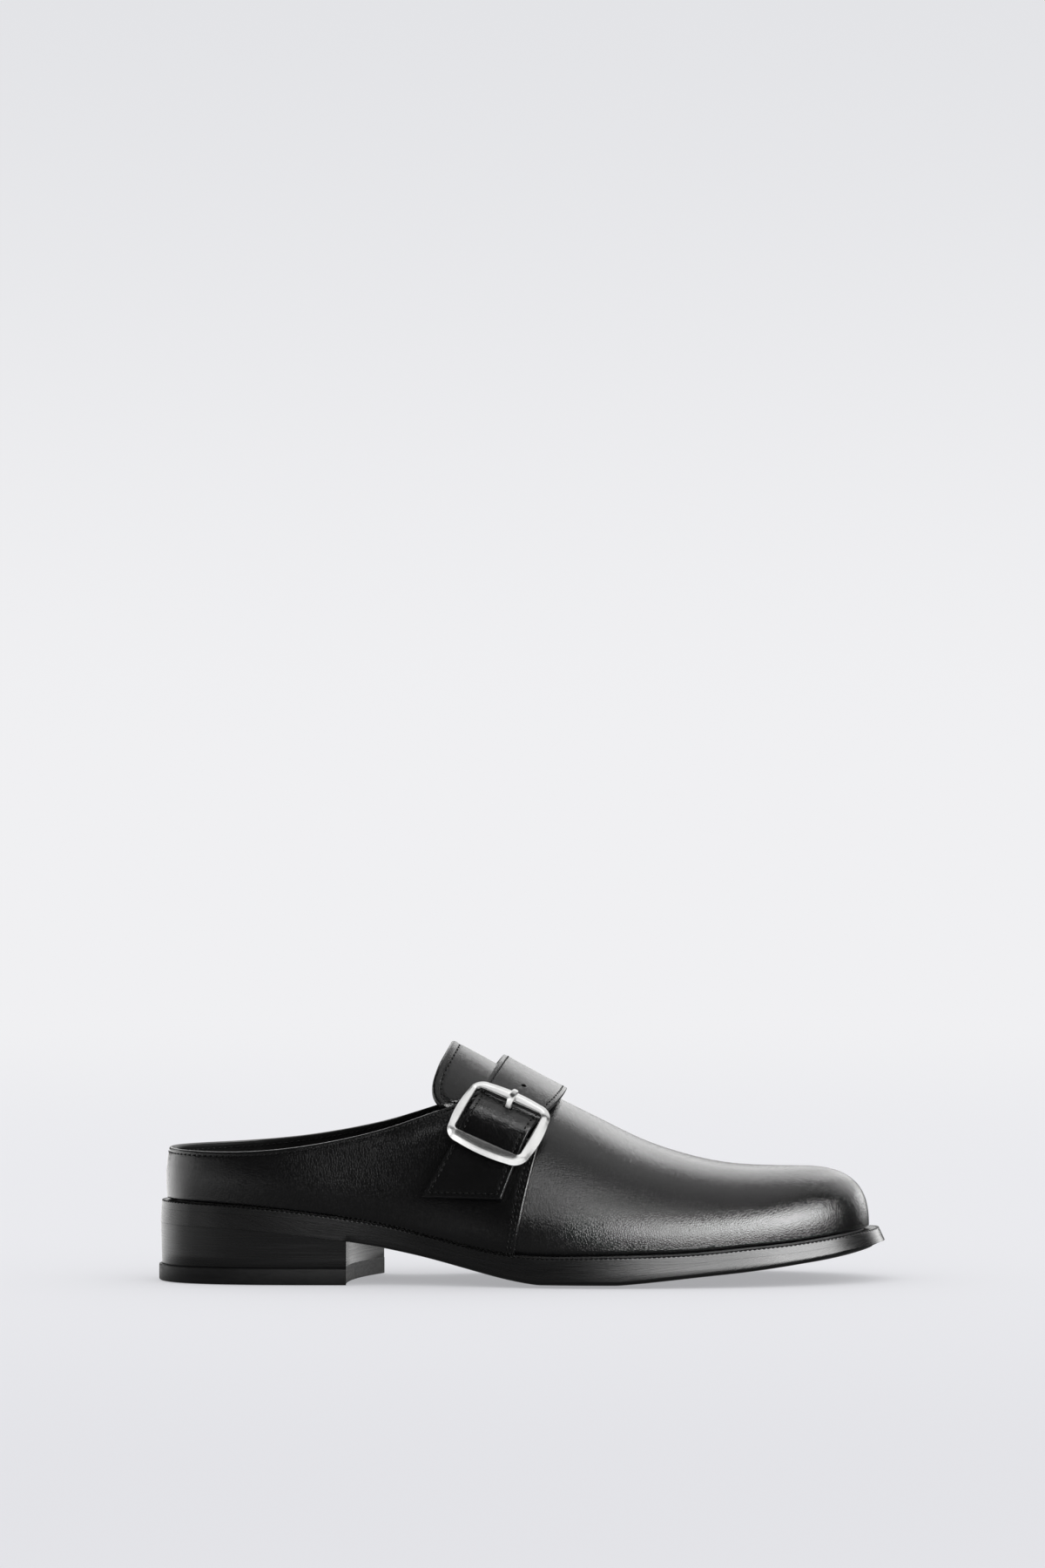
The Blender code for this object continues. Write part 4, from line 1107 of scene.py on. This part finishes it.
def addTongue():
    spots, normals = [], []
    for share in 1 - np.cos(np.linspace(0, math.pi / 2, tongue["columns"])):
        line = tongue["back"] + (tongue["front"] - tongue["back"]) * share
        pull = max(0.0, 1 - (line - tongue["back"]) / tongue["corner"])
        cut = tongue["cornerRise"] * (1 - math.sqrt(1 - pull * pull))

        def reached(spot):
            return spot[..., 2] - collarHeight(spot) + tongue["lap"] - cut

        def across(v):
            return np.full_like(np.asarray(v, dtype=float), line)

        ends = [bandEnd(side, across, reached) for side in (-1, 1)]
        points, outward, _ = bandLine(across, ends, lambda total: np.linspace(0, total, tongue["rows"]))
        spots.append(points)
        normals.append(outward)
    spots, normals = np.array(spots), np.array(normals)
    rim = np.concatenate([spots[::-1, 0], spots[0, 1:-1], spots[:, -1]])
    toEdge = nearest(spots, rim)
    dip = tongue["dip"] * smoothStep((collarHeight(spots) - spots[..., 2]) / tongue["dipFade"] + 1)
    sew = groove(toEdge, tongue["stitch"], tongue["grooveWidth"], tongue["grooveDepth"])
    face = spots - normals * (dip + edgeDrop(toEdge, tongue["round"]) + sew)[..., None]
    back = spots - normals * (dip + tongue["thickness"] - edgeDrop(toEdge, tongue["underRound"]))[..., None]
    grids = sheetGrids(face, back, tongue["layers"])
    piece = addPiece("tonguePiece", grids, [calf, lining, cutEdge], "tongue", sharp=50)
    edge = evenLine(rim)
    rimNormals = np.concatenate([normals[::-1, 0], normals[0, 1:-1], normals[:, -1]])
    upright = unit(np.column_stack([np.interp(np.linspace(0, 1, len(edge)), lengths(rim) / lengths(rim)[-1],
                                              rimNormals[:, k]) for k in range(3)]))
    inward = unit(np.cross(upright, np.gradient(edge, axis=0)))
    if (inward * (spots.mean(axis=(0, 1)) - edge)).sum() < 0:
        inward = -inward
    moved = edge + inward * tongue["stitch"]
    shown = collarHeight(moved) - moved[:, 2] < tongue["sewnTo"]
    return [layOn(piece, moved[shown], upright[shown])]


tongueRows = addTongue()


# buckle: a frame that stands on the strap, with a middle bar under it
buckle = {
    "section": 0.495,
    "length": 34.3,
    "height": 30.2,
    "sideBar": 3.7,
    "topBar": 5.4,
    "bottomBar": 4.4,
    "thickness": 2.8,
    "corner": (6.0, 1.7),
    "bow": (0.8, 0.1),
    "roll": math.radians(2.5),
    "drop": 0.6,
    "shift": 0.2,
    "stand": 4.8,
    "levelSpan": 10.0,
    "middleRadius": 1.0,
    "middleStand": 3.2,
    "middleEnd": 1.6,
    "middleRise": ((0.0, 1.0), (1.2, 0.4)),
    "middleStraight": 2.0,
    "middleSides": 16,
    "arcSteps": 12,
    "sideSteps": 25,
    # share of the bar's width inward, share of its thickness up
    "barSection": ((0.06, 0.0), (0.01, 0.02), (0.0, 0.05), (0.015, 0.09), (0.05, 0.13), (0.2, 0.33), (0.36, 0.53),
                   (0.4, 0.575), (0.43, 0.605), (0.52, 0.69), (0.62, 0.775), (0.72, 0.85), (0.82, 0.92),
                   (0.9, 0.97), (0.94, 0.99), (0.97, 0.995), (0.99, 0.97), (1.0, 0.93), (1.0, 0.14),
                   (0.97, 0.03), (0.9, 0.0), (0.5, 0.0)),
}


def buckleSeat(across):
    v = np.array(buckle["section"])
    angle = sideAngle(-1, bandU(-1, v, across(v)))
    return upperFace(angle, v), upperNormal(angle, v)


def buckleAxes():
    def middle(v):
        return (strapRear(v) + strapFront(v)) / 2

    seat, outward = buckleSeat(lambda v: middle(v) + buckle["shift"])
    front, rear = (buckleSeat(lambda v: middle(v) + sign * buckle["levelSpan"])[0] for sign in (1, -1))
    across = front - rear
    across = unit(across - outward * (across @ outward))
    upward = np.cross(outward, across)
    across = across * math.cos(buckle["roll"]) - upward * math.sin(buckle["roll"])
    upward = np.cross(outward, across)
    return seat - upward * buckle["drop"], across, upward, outward


def closedRing(loops):  # section loops round a closed path, back to the first of each
    loops = np.concatenate([loops, loops[:1]])
    return np.concatenate([loops, loops[:, :1]], axis=1)


def roundedLoop(half, radius, bow):  # a rectangle with round corners and sides that bow out a little
    arc = np.linspace(0, math.pi / 2, buckle["arcSteps"] + 1)[:, None]
    run = np.linspace(1, -1, buckle["sideSteps"] + 1)[1:-1, None]
    sides = []
    for k in range(4):
        turn = k * math.pi / 2
        first, second = np.array((math.cos(turn), math.sin(turn))), np.array((-math.sin(turn), math.cos(turn)))
        a, b = half[k % 2], half[(k + 1) % 2]
        a, bend = a - bow - radius, b - bow - radius
        sides.append((a + radius * np.cos(arc)) * first + (bend + radius * np.sin(arc)) * second)
        sides.append(run * a * first + (b - bow * run**2) * second)
    return np.concatenate(sides)


def closedBar(loops):  # loops along a bar, with each end drawn to a point
    first, final = (np.repeat(loop.mean(axis=0)[None], len(loop), axis=0) for loop in (loops[0], loops[-1]))
    return np.array([first, *loops, final])


def addBuckleFrame():
    seat, across, upward, outward = buckleAxes()
    loops = []
    for share, rise in buckle["barSection"]:
        half = np.array((buckle["length"] / 2 - share * buckle["sideBar"],
                         buckle["height"] / 2 - share * (buckle["topBar"] + buckle["bottomBar"]) / 2))
        radius, bow = (np.interp(share, (0, 1), buckle[key]) for key in ("corner", "bow"))
        flat = roundedLoop(half, radius, bow) + (0, share * (buckle["bottomBar"] - buckle["topBar"]) / 2)
        lift = buckle["stand"] + rise * buckle["thickness"]
        loops.append(seat + flat[:, :1] * across + flat[:, 1:] * upward + outward * lift)
    grids = [(closedRing(np.array(loops)), None, 0)]
    reach = buckle["length"] / 2 - buckle["sideBar"] + buckle["middleEnd"]
    endBend = [(inward, buckle["stand"] + rise) for inward, rise in buckle["middleRise"]]
    endBend.append((buckle["middleStraight"], buckle["middleStand"]))
    stations = [(inward - reach, stand) for inward, stand in endBend]
    stations += [(reach - inward, stand) for inward, stand in endBend[::-1]]
    turn = np.linspace(0, 2 * math.pi, buckle["middleSides"] + 1)
    ring = np.cos(turn)[:, None] * upward + np.sin(turn)[:, None] * outward
    bar = [seat + across * x + outward * stand + buckle["middleRadius"] * ring for x, stand in stations]
    grids.append((closedBar(bar), None, 0))
    return addPiece("buckleFramePiece", grids, [frameMetal], "buckle_frame", sharp=70)


# prong: up through the strap beside the middle bar, then over the top bar
prong = {
    # slot and path are up the strap and out from it
    "slot": ((3.9, 2.9), (5.8, 1.9), (9.6, 6.1), (7.8, 7.1)),
    "slack": 0.4,
    "width": 2.5,
    "thickness": 1.2,
    "tip": 0.7,
    "tipStations": 5,
    "squareness": (0.5, 0.7),
    "path": ((1.6, 2.9), (3.4, 2.7), (5.0, 2.9), (6.3, 3.7), (7.3, 4.9), (8.2, 6.2), (9.1, 7.5), (10.1, 8.4),
             (11.2, 8.5), (12.4, 8.2), (13.7, 7.8), (14.3, 7.6)),
    "stations": 40,
    "sides": 24,
}


def addBuckleProng():
    seat, across, upward, outward = buckleAxes()
    knots = np.arange(len(prong["path"]))
    fine = np.linspace(0, knots[-1], prong["stations"])
    path = np.column_stack([smoothCurve(knots, [p[k] for p in prong["path"]])(fine) for k in (0, 1)])
    direction = unit(np.gradient(path, axis=0))
    turn = np.linspace(0, 2 * math.pi, prong["sides"] + 1)
    circle = np.column_stack([np.cos(turn), np.sin(turn)])
    oval = np.sign(circle) * np.abs(circle) ** prong["squareness"]
    loops = []
    for i, ((y, z), (dy, dz)) in enumerate(zip(path, direction)):
        left = (len(path) - 1 - i) / prong["tipStations"]
        slim = prong["tip"] + (1 - prong["tip"]) * min(1.0, left)
        centre = seat + upward * y + outward * z
        lift = -dz * upward + dy * outward
        loops.append(centre + oval[:, :1] * across * prong["width"] / 2 * slim
                     + oval[:, 1:] * lift * prong["thickness"] / 2 * slim)
    grids = [(closedBar(loops), None, 0)]
    return addPiece("buckleProngPiece", grids, [prongMetal], "buckle_prong", sharp=60)


def prongSlot():
    seat, across, upward, outward = buckleAxes()
    half = prong["width"] / 2 + prong["slack"]
    corners = np.array([seat + upward * y + outward * z for y, z in prong["slot"]])
    return [corners + across * x for x in (-half, half)]


buckleFramePiece = addBuckleFrame()
buckleProngPiece = addBuckleProng()
strapPiece, strapRows = addStrap()
print("buckle, strap and tongue made")


# a row of small beads along a path, each laid on the leather: stitches, and near-black beads painted as the shade of
# the needle holes
def makeBeadRow():
    tree = bpy.data.node_groups.new("beadRow", "GeometryNodeTree")
    face = tree.interface
    face.new_socket("Geometry", in_out="INPUT", socket_type="NodeSocketGeometry")
    for label in ("Pitch", "Phase", "Long", "Wide", "High", "Sink", "Slant"):
        face.new_socket(label, in_out="INPUT", socket_type="NodeSocketFloat")
    face.new_socket("Material", in_out="INPUT", socket_type="NodeSocketMaterial")
    face.new_socket("Geometry", in_out="OUTPUT", socket_type="NodeSocketGeometry")
    given = tree.nodes.new("NodeGroupInput").outputs
    curve = addNode(tree, "GeometryNodeMeshToCurve", {"Mesh": given["Geometry"]}).outputs["Curve"]
    trimmed = addNode(tree, "GeometryNodeTrimCurve", mode="LENGTH")
    span = addNode(tree, "GeometryNodeSplineLength").outputs["Length"]
    tree.links.new(curve, trimmed.inputs["Curve"])
    for label, value in (("Start", given["Phase"]), ("End", span)):
        tree.links.new(value, [s for s in trimmed.inputs if s.name == label and s.enabled][-1])
    even = addNode(tree, "GeometryNodeResampleCurve", {"Curve": trimmed.outputs["Curve"], "Length": given["Pitch"]},
                   mode="LENGTH").outputs["Curve"]
    upright = addNode(tree, "GeometryNodeInputNamedAttribute", {"Name": "faceNormal"}, data_type="FLOAT_VECTOR")
    tangent = addNode(tree, "GeometryNodeInputTangent").outputs[0]
    laid = addNode(tree, "FunctionNodeAxesToRotation", {"Primary Axis": upright.outputs["Attribute"],
                                                        "Secondary Axis": tangent},
                   primary_axis="Z", secondary_axis="X").outputs["Rotation"]
    slant = addNode(tree, "ShaderNodeCombineXYZ", {"Z": given["Slant"]}).outputs[0]
    slanted = addNode(tree, "FunctionNodeEulerToRotation", {"Euler": slant}).outputs["Rotation"]
    turned = addNode(tree, "FunctionNodeRotateRotation", {"Rotation": laid, "Rotate By": slanted},
                     rotation_space="LOCAL").outputs["Rotation"]
    bead = addNode(tree, "GeometryNodeMeshUVSphere", {"Segments": 8, "Rings": 5, "Radius": 0.5}).outputs["Mesh"]
    onSide = addNode(tree, "GeometryNodeTransform", {"Geometry": bead, "Rotation": (0, math.pi / 2, 0)})
    size = addNode(tree, "ShaderNodeCombineXYZ", {"X": given["Long"], "Y": given["Wide"], "Z": given["High"]})
    lower = mathNode(tree, "MULTIPLY", given["Sink"], -1.0)
    down = addNode(tree, "ShaderNodeCombineXYZ", {"Z": lower}).outputs[0]
    shaped = addNode(tree, "GeometryNodeTransform", {"Geometry": onSide.outputs["Geometry"],
                                                     "Translation": down, "Scale": size.outputs[0]})
    rows = addNode(tree, "GeometryNodeInstanceOnPoints", {"Points": even, "Instance": shaped.outputs["Geometry"],
                                                          "Rotation": turned})
    real = addNode(tree, "GeometryNodeRealizeInstances", {"Geometry": rows.outputs["Instances"]})
    smooth = addNode(tree, "GeometryNodeSetShadeSmooth", {"Geometry": real.outputs["Geometry"]})
    coloured = addNode(tree, "GeometryNodeSetMaterial", {"Geometry": smooth.outputs["Geometry"],
                                                         "Material": given["Material"]})
    tree.links.new(coloured.outputs["Geometry"], tree.nodes.new("NodeGroupOutput").inputs["Geometry"])
    return tree


beadRow = makeBeadRow()


def addBeads(name, paths, sizes, material):
    points, edges, normals = [], [], []
    for spots, outward in paths:
        first = len(points)
        points += toFrame(spots).tolist()
        normals += np.asarray(outward).tolist()
        edges += [(first + i, first + i + 1) for i in range(len(spots) - 1)]
    mesh = bpy.data.meshes.new(name)
    mesh.from_pydata(points, edges, [])
    mesh.attributes.new("faceNormal", "FLOAT_VECTOR", "POINT").data.foreach_set(
        "vector", np.array(normals, dtype=np.float32).ravel())
    piece = bpy.data.objects.new(name, mesh)
    scene.collection.objects.link(piece)
    modifier = piece.modifiers.new("beads", "NODES")
    modifier.node_group = beadRow
    sockets = {item.name: item.identifier for item in beadRow.interface.items_tree if item.in_out == "INPUT"}
    for label, value in sizes.items():
        modifier[sockets[label]] = value * (1 if label == "Slant" else millimetre)
    modifier[sockets["Material"]] = material
    keepResult(piece)
    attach(piece, "root")
    return piece


# sizes in millimetres, slant in radians
threadSizes = {"Pitch": 2.3, "Phase": 0.0, "Long": 1.5, "Wide": 0.55, "High": 0.42, "Sink": -0.06, "Slant": 0.16}
# the beads between the stitches are painted shade of the needle holes
paintedHoleSizes = {"Pitch": 2.3, "Phase": 1.15, "Long": 0.95, "Wide": 0.9, "High": 0.4, "Sink": 0.02, "Slant": 0.0}


def sewRows(name, rows):
    return (addBeads(name + "Thread", rows, threadSizes, thread),
            addBeads(name + "PaintedHoleShade", rows, paintedHoleSizes, paintedHoleShade))


quarterSewing = sewRows("quarterSewing", quarterRows)
strapSewing = sewRows("strapSewing", strapRows)
sewRows("tongueSewing", tongueRows)
print("stitches sewn")


# stage: a pale floor that runs into the backdrop, an even dome for the floor and soft boxes for the gloss
stage = {
    "horizon": (0.871, 0.871, 0.889),
    "zenith": (0.765, 0.770, 0.795),
    "zenithAt": 0.14,
    "dome": 0.93,
    "gloss": 0.02,
    "floorGloss": 0.13,
    "floorGlossBehind": (1.4, 0.05),
    "floorGlossHeel": 0.8,
    # floorFront is darker than floorBack: painted shade of the light falling off towards the camera
    "floorFront": (0.82, 0.822, 0.858),
    "floorBack": (0.885, 0.888, 0.92),
    "shadowFill": 0.45,
    "floorFade": (0.5, 2.6),
    "floorRadius": 14.0,
    "floorSegments": 96,
    "floorDrop": 0.0002,
    "shadeFromFront": (-0.9, 0.25),
    "glossFromFront": (-0.04, 0.06),
    "glossPastBuckle": (0.02, 0.12),
    "glossPastHeel": (-0.32, -0.16),
    "lightAim": (0.0, 0.0, 0.04),
    "flatLight": 0.001,
}
lights = {  # turned from the camera side towards the toe, raised from the floor, in degrees; far in metres
    "keyToe": {"turned": 57, "raised": 21, "far": 1.4, "size": (0.9, 0.8), "glow": 16.0, "without": "metal"},
    "soleToe": {"turned": 57, "raised": 2, "far": 1.4, "size": (0.9, 0.35), "glow": 9.0, "only": "sole"},
    "keyFront": {"turned": 25, "raised": 13, "far": 1.4, "size": (0.82, 0.95), "glow": 11.0, "without": "rear"},
    "quarterFront": {"turned": 25, "raised": 15, "far": 1.4, "size": (0.82, 1.05), "glow": 1.8, "only": "leather"},
    "topFront": {"turned": 15, "raised": 48, "far": 1.4, "size": (0.65, 0.4), "glow": 2.5, "only": "vamp"},
    "top": {"turned": 45, "raised": 74, "far": 1.4, "size": (1.2, 0.9), "glow": 0.75, "without": "metal"},
    "topBack": {"turned": 165, "raised": 66, "far": 1.5, "size": (1.8, 0.8), "glow": 0.8},
    "backToe": {"turned": 138, "raised": 27, "far": 1.8, "size": (1.31, 1.24), "glow": 2.5, "without": "metal"},
    "back": {"turned": 180, "raised": 31, "far": 1.8, "size": (1.4, 1.5), "glow": 1.9, "without": "metal"},
    "heelSide": {"turned": -130, "raised": 6, "far": 1.6, "size": (0.68, 0.9), "glow": 2.2},
    "heelFront": {"turned": -95, "raised": 6, "far": 1.6, "size": (1.3, 0.9), "glow": 1.5},
    "heelNear": {"turned": -55, "raised": 6, "far": 1.6, "size": (0.7, 0.9), "glow": 0.5},
    "vampEdge": {"turned": -7, "raised": 38, "far": 1.4, "size": (0.7, 0.5), "glow": 3.4, "only": "vamp"},
    "vampLow": {"turned": 8, "raised": 10, "far": 1.4, "size": (0.3, 0.5), "glow": 3.0, "only": "front"},
    "toeEdge": {"turned": 137, "raised": 7, "far": 1.8, "size": (0.7, 0.5), "glow": 3.4, "only": "front"},
    "strapTop": {"turned": 18, "raised": 67, "far": 1.4, "size": (0.45, 0.4), "glow": 5.0, "only": "strap"},
    "metalTop": {"turned": -85, "raised": 52, "far": 1.6, "size": (3.6, 1.1), "glow": 0.85, "only": "metal"},
    "metalBack": {"turned": 160, "raised": 35, "far": 1.6, "size": (2.6, 1.4), "glow": 0.8, "only": "metal"},
    "metalKey": {"turned": 55, "raised": 15, "far": 1.4, "size": (2.6, 1.2), "glow": 0.95, "only": "metal"},
    "prongFront": {"turned": -15, "raised": 8, "far": 1.4, "size": (1.2, 1.0), "glow": 0.8, "only": "prong"},
    "metalFloor": {"flatAt": (-0.1, -0.36), "size": (0.9, 0.55), "glow": 0.9, "only": "metal"},
}
metalPieces = (buckleFramePiece, buckleProngPiece)
leatherPieces = (quartersPiece, strapPiece, *quarterSewing, *strapSewing)
solePieces = (outsolePiece, weltPiece)
lightGroups = {
    "metal": metalPieces,
    "prong": (buckleProngPiece,),
    "rear": metalPieces + leatherPieces,
    "leather": leatherPieces,
    "vamp": (vampPiece,),
    "front": (vampPiece, *solePieces),
    "strap": (strapPiece,),
    "sole": solePieces,
}


def addLight(name, look):
    data = bpy.data.lights.new(name, "AREA")
    data.shape = "RECTANGLE"
    data.size, data.size_y = look["size"]
    data.energy = look["glow"] * math.pi * data.size * data.size_y
    made = bpy.data.objects.new(name, data)
    if "flatAt" in look:  # lies on the floor and shines up
        made.location, made.rotation_euler = (*look["flatAt"], stage["flatLight"]), (math.pi, 0, 0)
    else:
        turned, raised = math.radians(look["turned"]), math.radians(look["raised"])
        level = math.cos(raised)
        toward = Vector((math.sin(turned) * level, -math.cos(turned) * level, math.sin(raised)))
        made.location = Vector(stage["lightAim"]) + toward * look["far"]
        made.rotation_euler = (-toward).to_track_quat("-Z", "Y").to_euler()
    made.visible_camera = False
    made.visible_diffuse = False
    scene.collection.objects.link(made)
    for key, state in (("only", "INCLUDE"), ("without", "EXCLUDE")):
        if key in look:
            group = bpy.data.collections.new(name)
            for piece in lightGroups[look[key]]:
                group.objects.link(piece)
            for entry in group.collection_objects:
                entry.light_linking.link_state = state
            made.light_linking.receiver_collection = group


white = (1, 1, 1, 1)


def addWorld():
    world = bpy.data.worlds.new("studio")
    scene.world = world
    world.use_nodes = True
    tree = world.node_tree
    tree.nodes.clear()
    direction = addNode(tree, "ShaderNodeTexCoord").outputs["Generated"]
    upward = addNode(tree, "ShaderNodeSeparateXYZ", {0: direction}).outputs["Z"]
    sky = mixColour(tree, spread(tree, upward, 0.0, stage["zenithAt"]), stage["horizon"], stage["zenith"])
    seen, dome, gloss = (
        addNode(tree, "ShaderNodeBackground", {"Color": colour, "Strength": strength}).outputs[0]
        for colour, strength in ((sky, 1.0), (white, stage["dome"]), (white, stage["gloss"])))
    path = addNode(tree, "ShaderNodeLightPath").outputs
    dim = addNode(tree, "ShaderNodeMixShader", {0: path["Is Glossy Ray"], 1: dome, 2: gloss}).outputs[0]
    mixed = addNode(tree, "ShaderNodeMixShader", {0: path["Is Camera Ray"], 1: dim, 2: seen}).outputs[0]
    addNode(tree, "ShaderNodeOutputWorld", {"Surface": mixed})


def addFloor():
    mesh = bpy.data.meshes.new("floor")
    work = bmesh.new()
    bmesh.ops.create_circle(work, cap_ends=True, segments=stage["floorSegments"], radius=stage["floorRadius"])
    work.to_mesh(mesh)
    work.free()
    floor = bpy.data.objects.new("floor", mesh)
    floor.location = (0, 0, -stage["floorDrop"])
    scene.collection.objects.link(floor)
    material, tree, shader = newMaterial("paleFloor", **{"Roughness": 1.0, "Specular IOR Level": 0.0})
    place = addNode(tree, "ShaderNodeTexCoord").outputs["Object"]
    axis = addNode(tree, "ShaderNodeSeparateXYZ", {0: place}).outputs
    # the floor colour is painted darker towards the front: painted shade of the light's falloff
    backward = spread(tree, axis["Y"], *stage["shadeFromFront"])
    tone = mixColour(tree, backward, stage["floorFront"], stage["floorBack"])
    tree.links.new(tone, shader.inputs["Base Color"])
    fill = addNode(tree, "ShaderNodeEmission", {"Color": tone, "Strength": stage["dome"]}).outputs[0]
    ground = addNode(tree, "ShaderNodeMixShader", {0: stage["shadowFill"], 1: shader.outputs[0], 2: fill}).outputs[0]
    away = addNode(tree, "ShaderNodeVectorMath", {0: place}, operation="LENGTH").outputs["Value"]
    fade = spread(tree, away, *stage["floorFade"])
    path = addNode(tree, "ShaderNodeLightPath").outputs
    glow = addNode(tree, "ShaderNodeEmission", {"Color": (*stage["horizon"], 1), "Strength": 1.0}).outputs[0]
    farGloss = spread(tree, axis["X"], *stage["glossPastBuckle"], *stage["floorGlossBehind"])
    behind = spread(tree, axis["Y"], *stage["glossFromFront"])
    dullness = addNode(tree, "ShaderNodeMix", {0: behind, 2: stage["floorGloss"], 3: farGloss},
                       data_type="FLOAT").outputs[0]
    pastHeel = spread(tree, axis["X"], *stage["glossPastHeel"], stage["floorGlossHeel"], 0.0)
    dullness = mathNode(tree, "ADD", dullness, pastHeel)
    dull = addNode(tree, "ShaderNodeEmission", {"Color": white, "Strength": dullness}).outputs[0]
    mixed = addNode(tree, "ShaderNodeMixShader", {0: mathNode(tree, "MULTIPLY", fade, path["Is Camera Ray"]),
                                                  1: ground, 2: glow}).outputs[0]
    mixed = addNode(tree, "ShaderNodeMixShader", {0: path["Is Glossy Ray"], 1: mixed, 2: dull}).outputs[0]
    tree.links.new(mixed, tree.nodes["Material Output"].inputs["Surface"])
    mesh.materials.append(material)


addWorld()
addFloor()
for lightName, look in lights.items():
    addLight(lightName, look)
scene.view_settings.view_transform = "Standard"
print("stage lit")
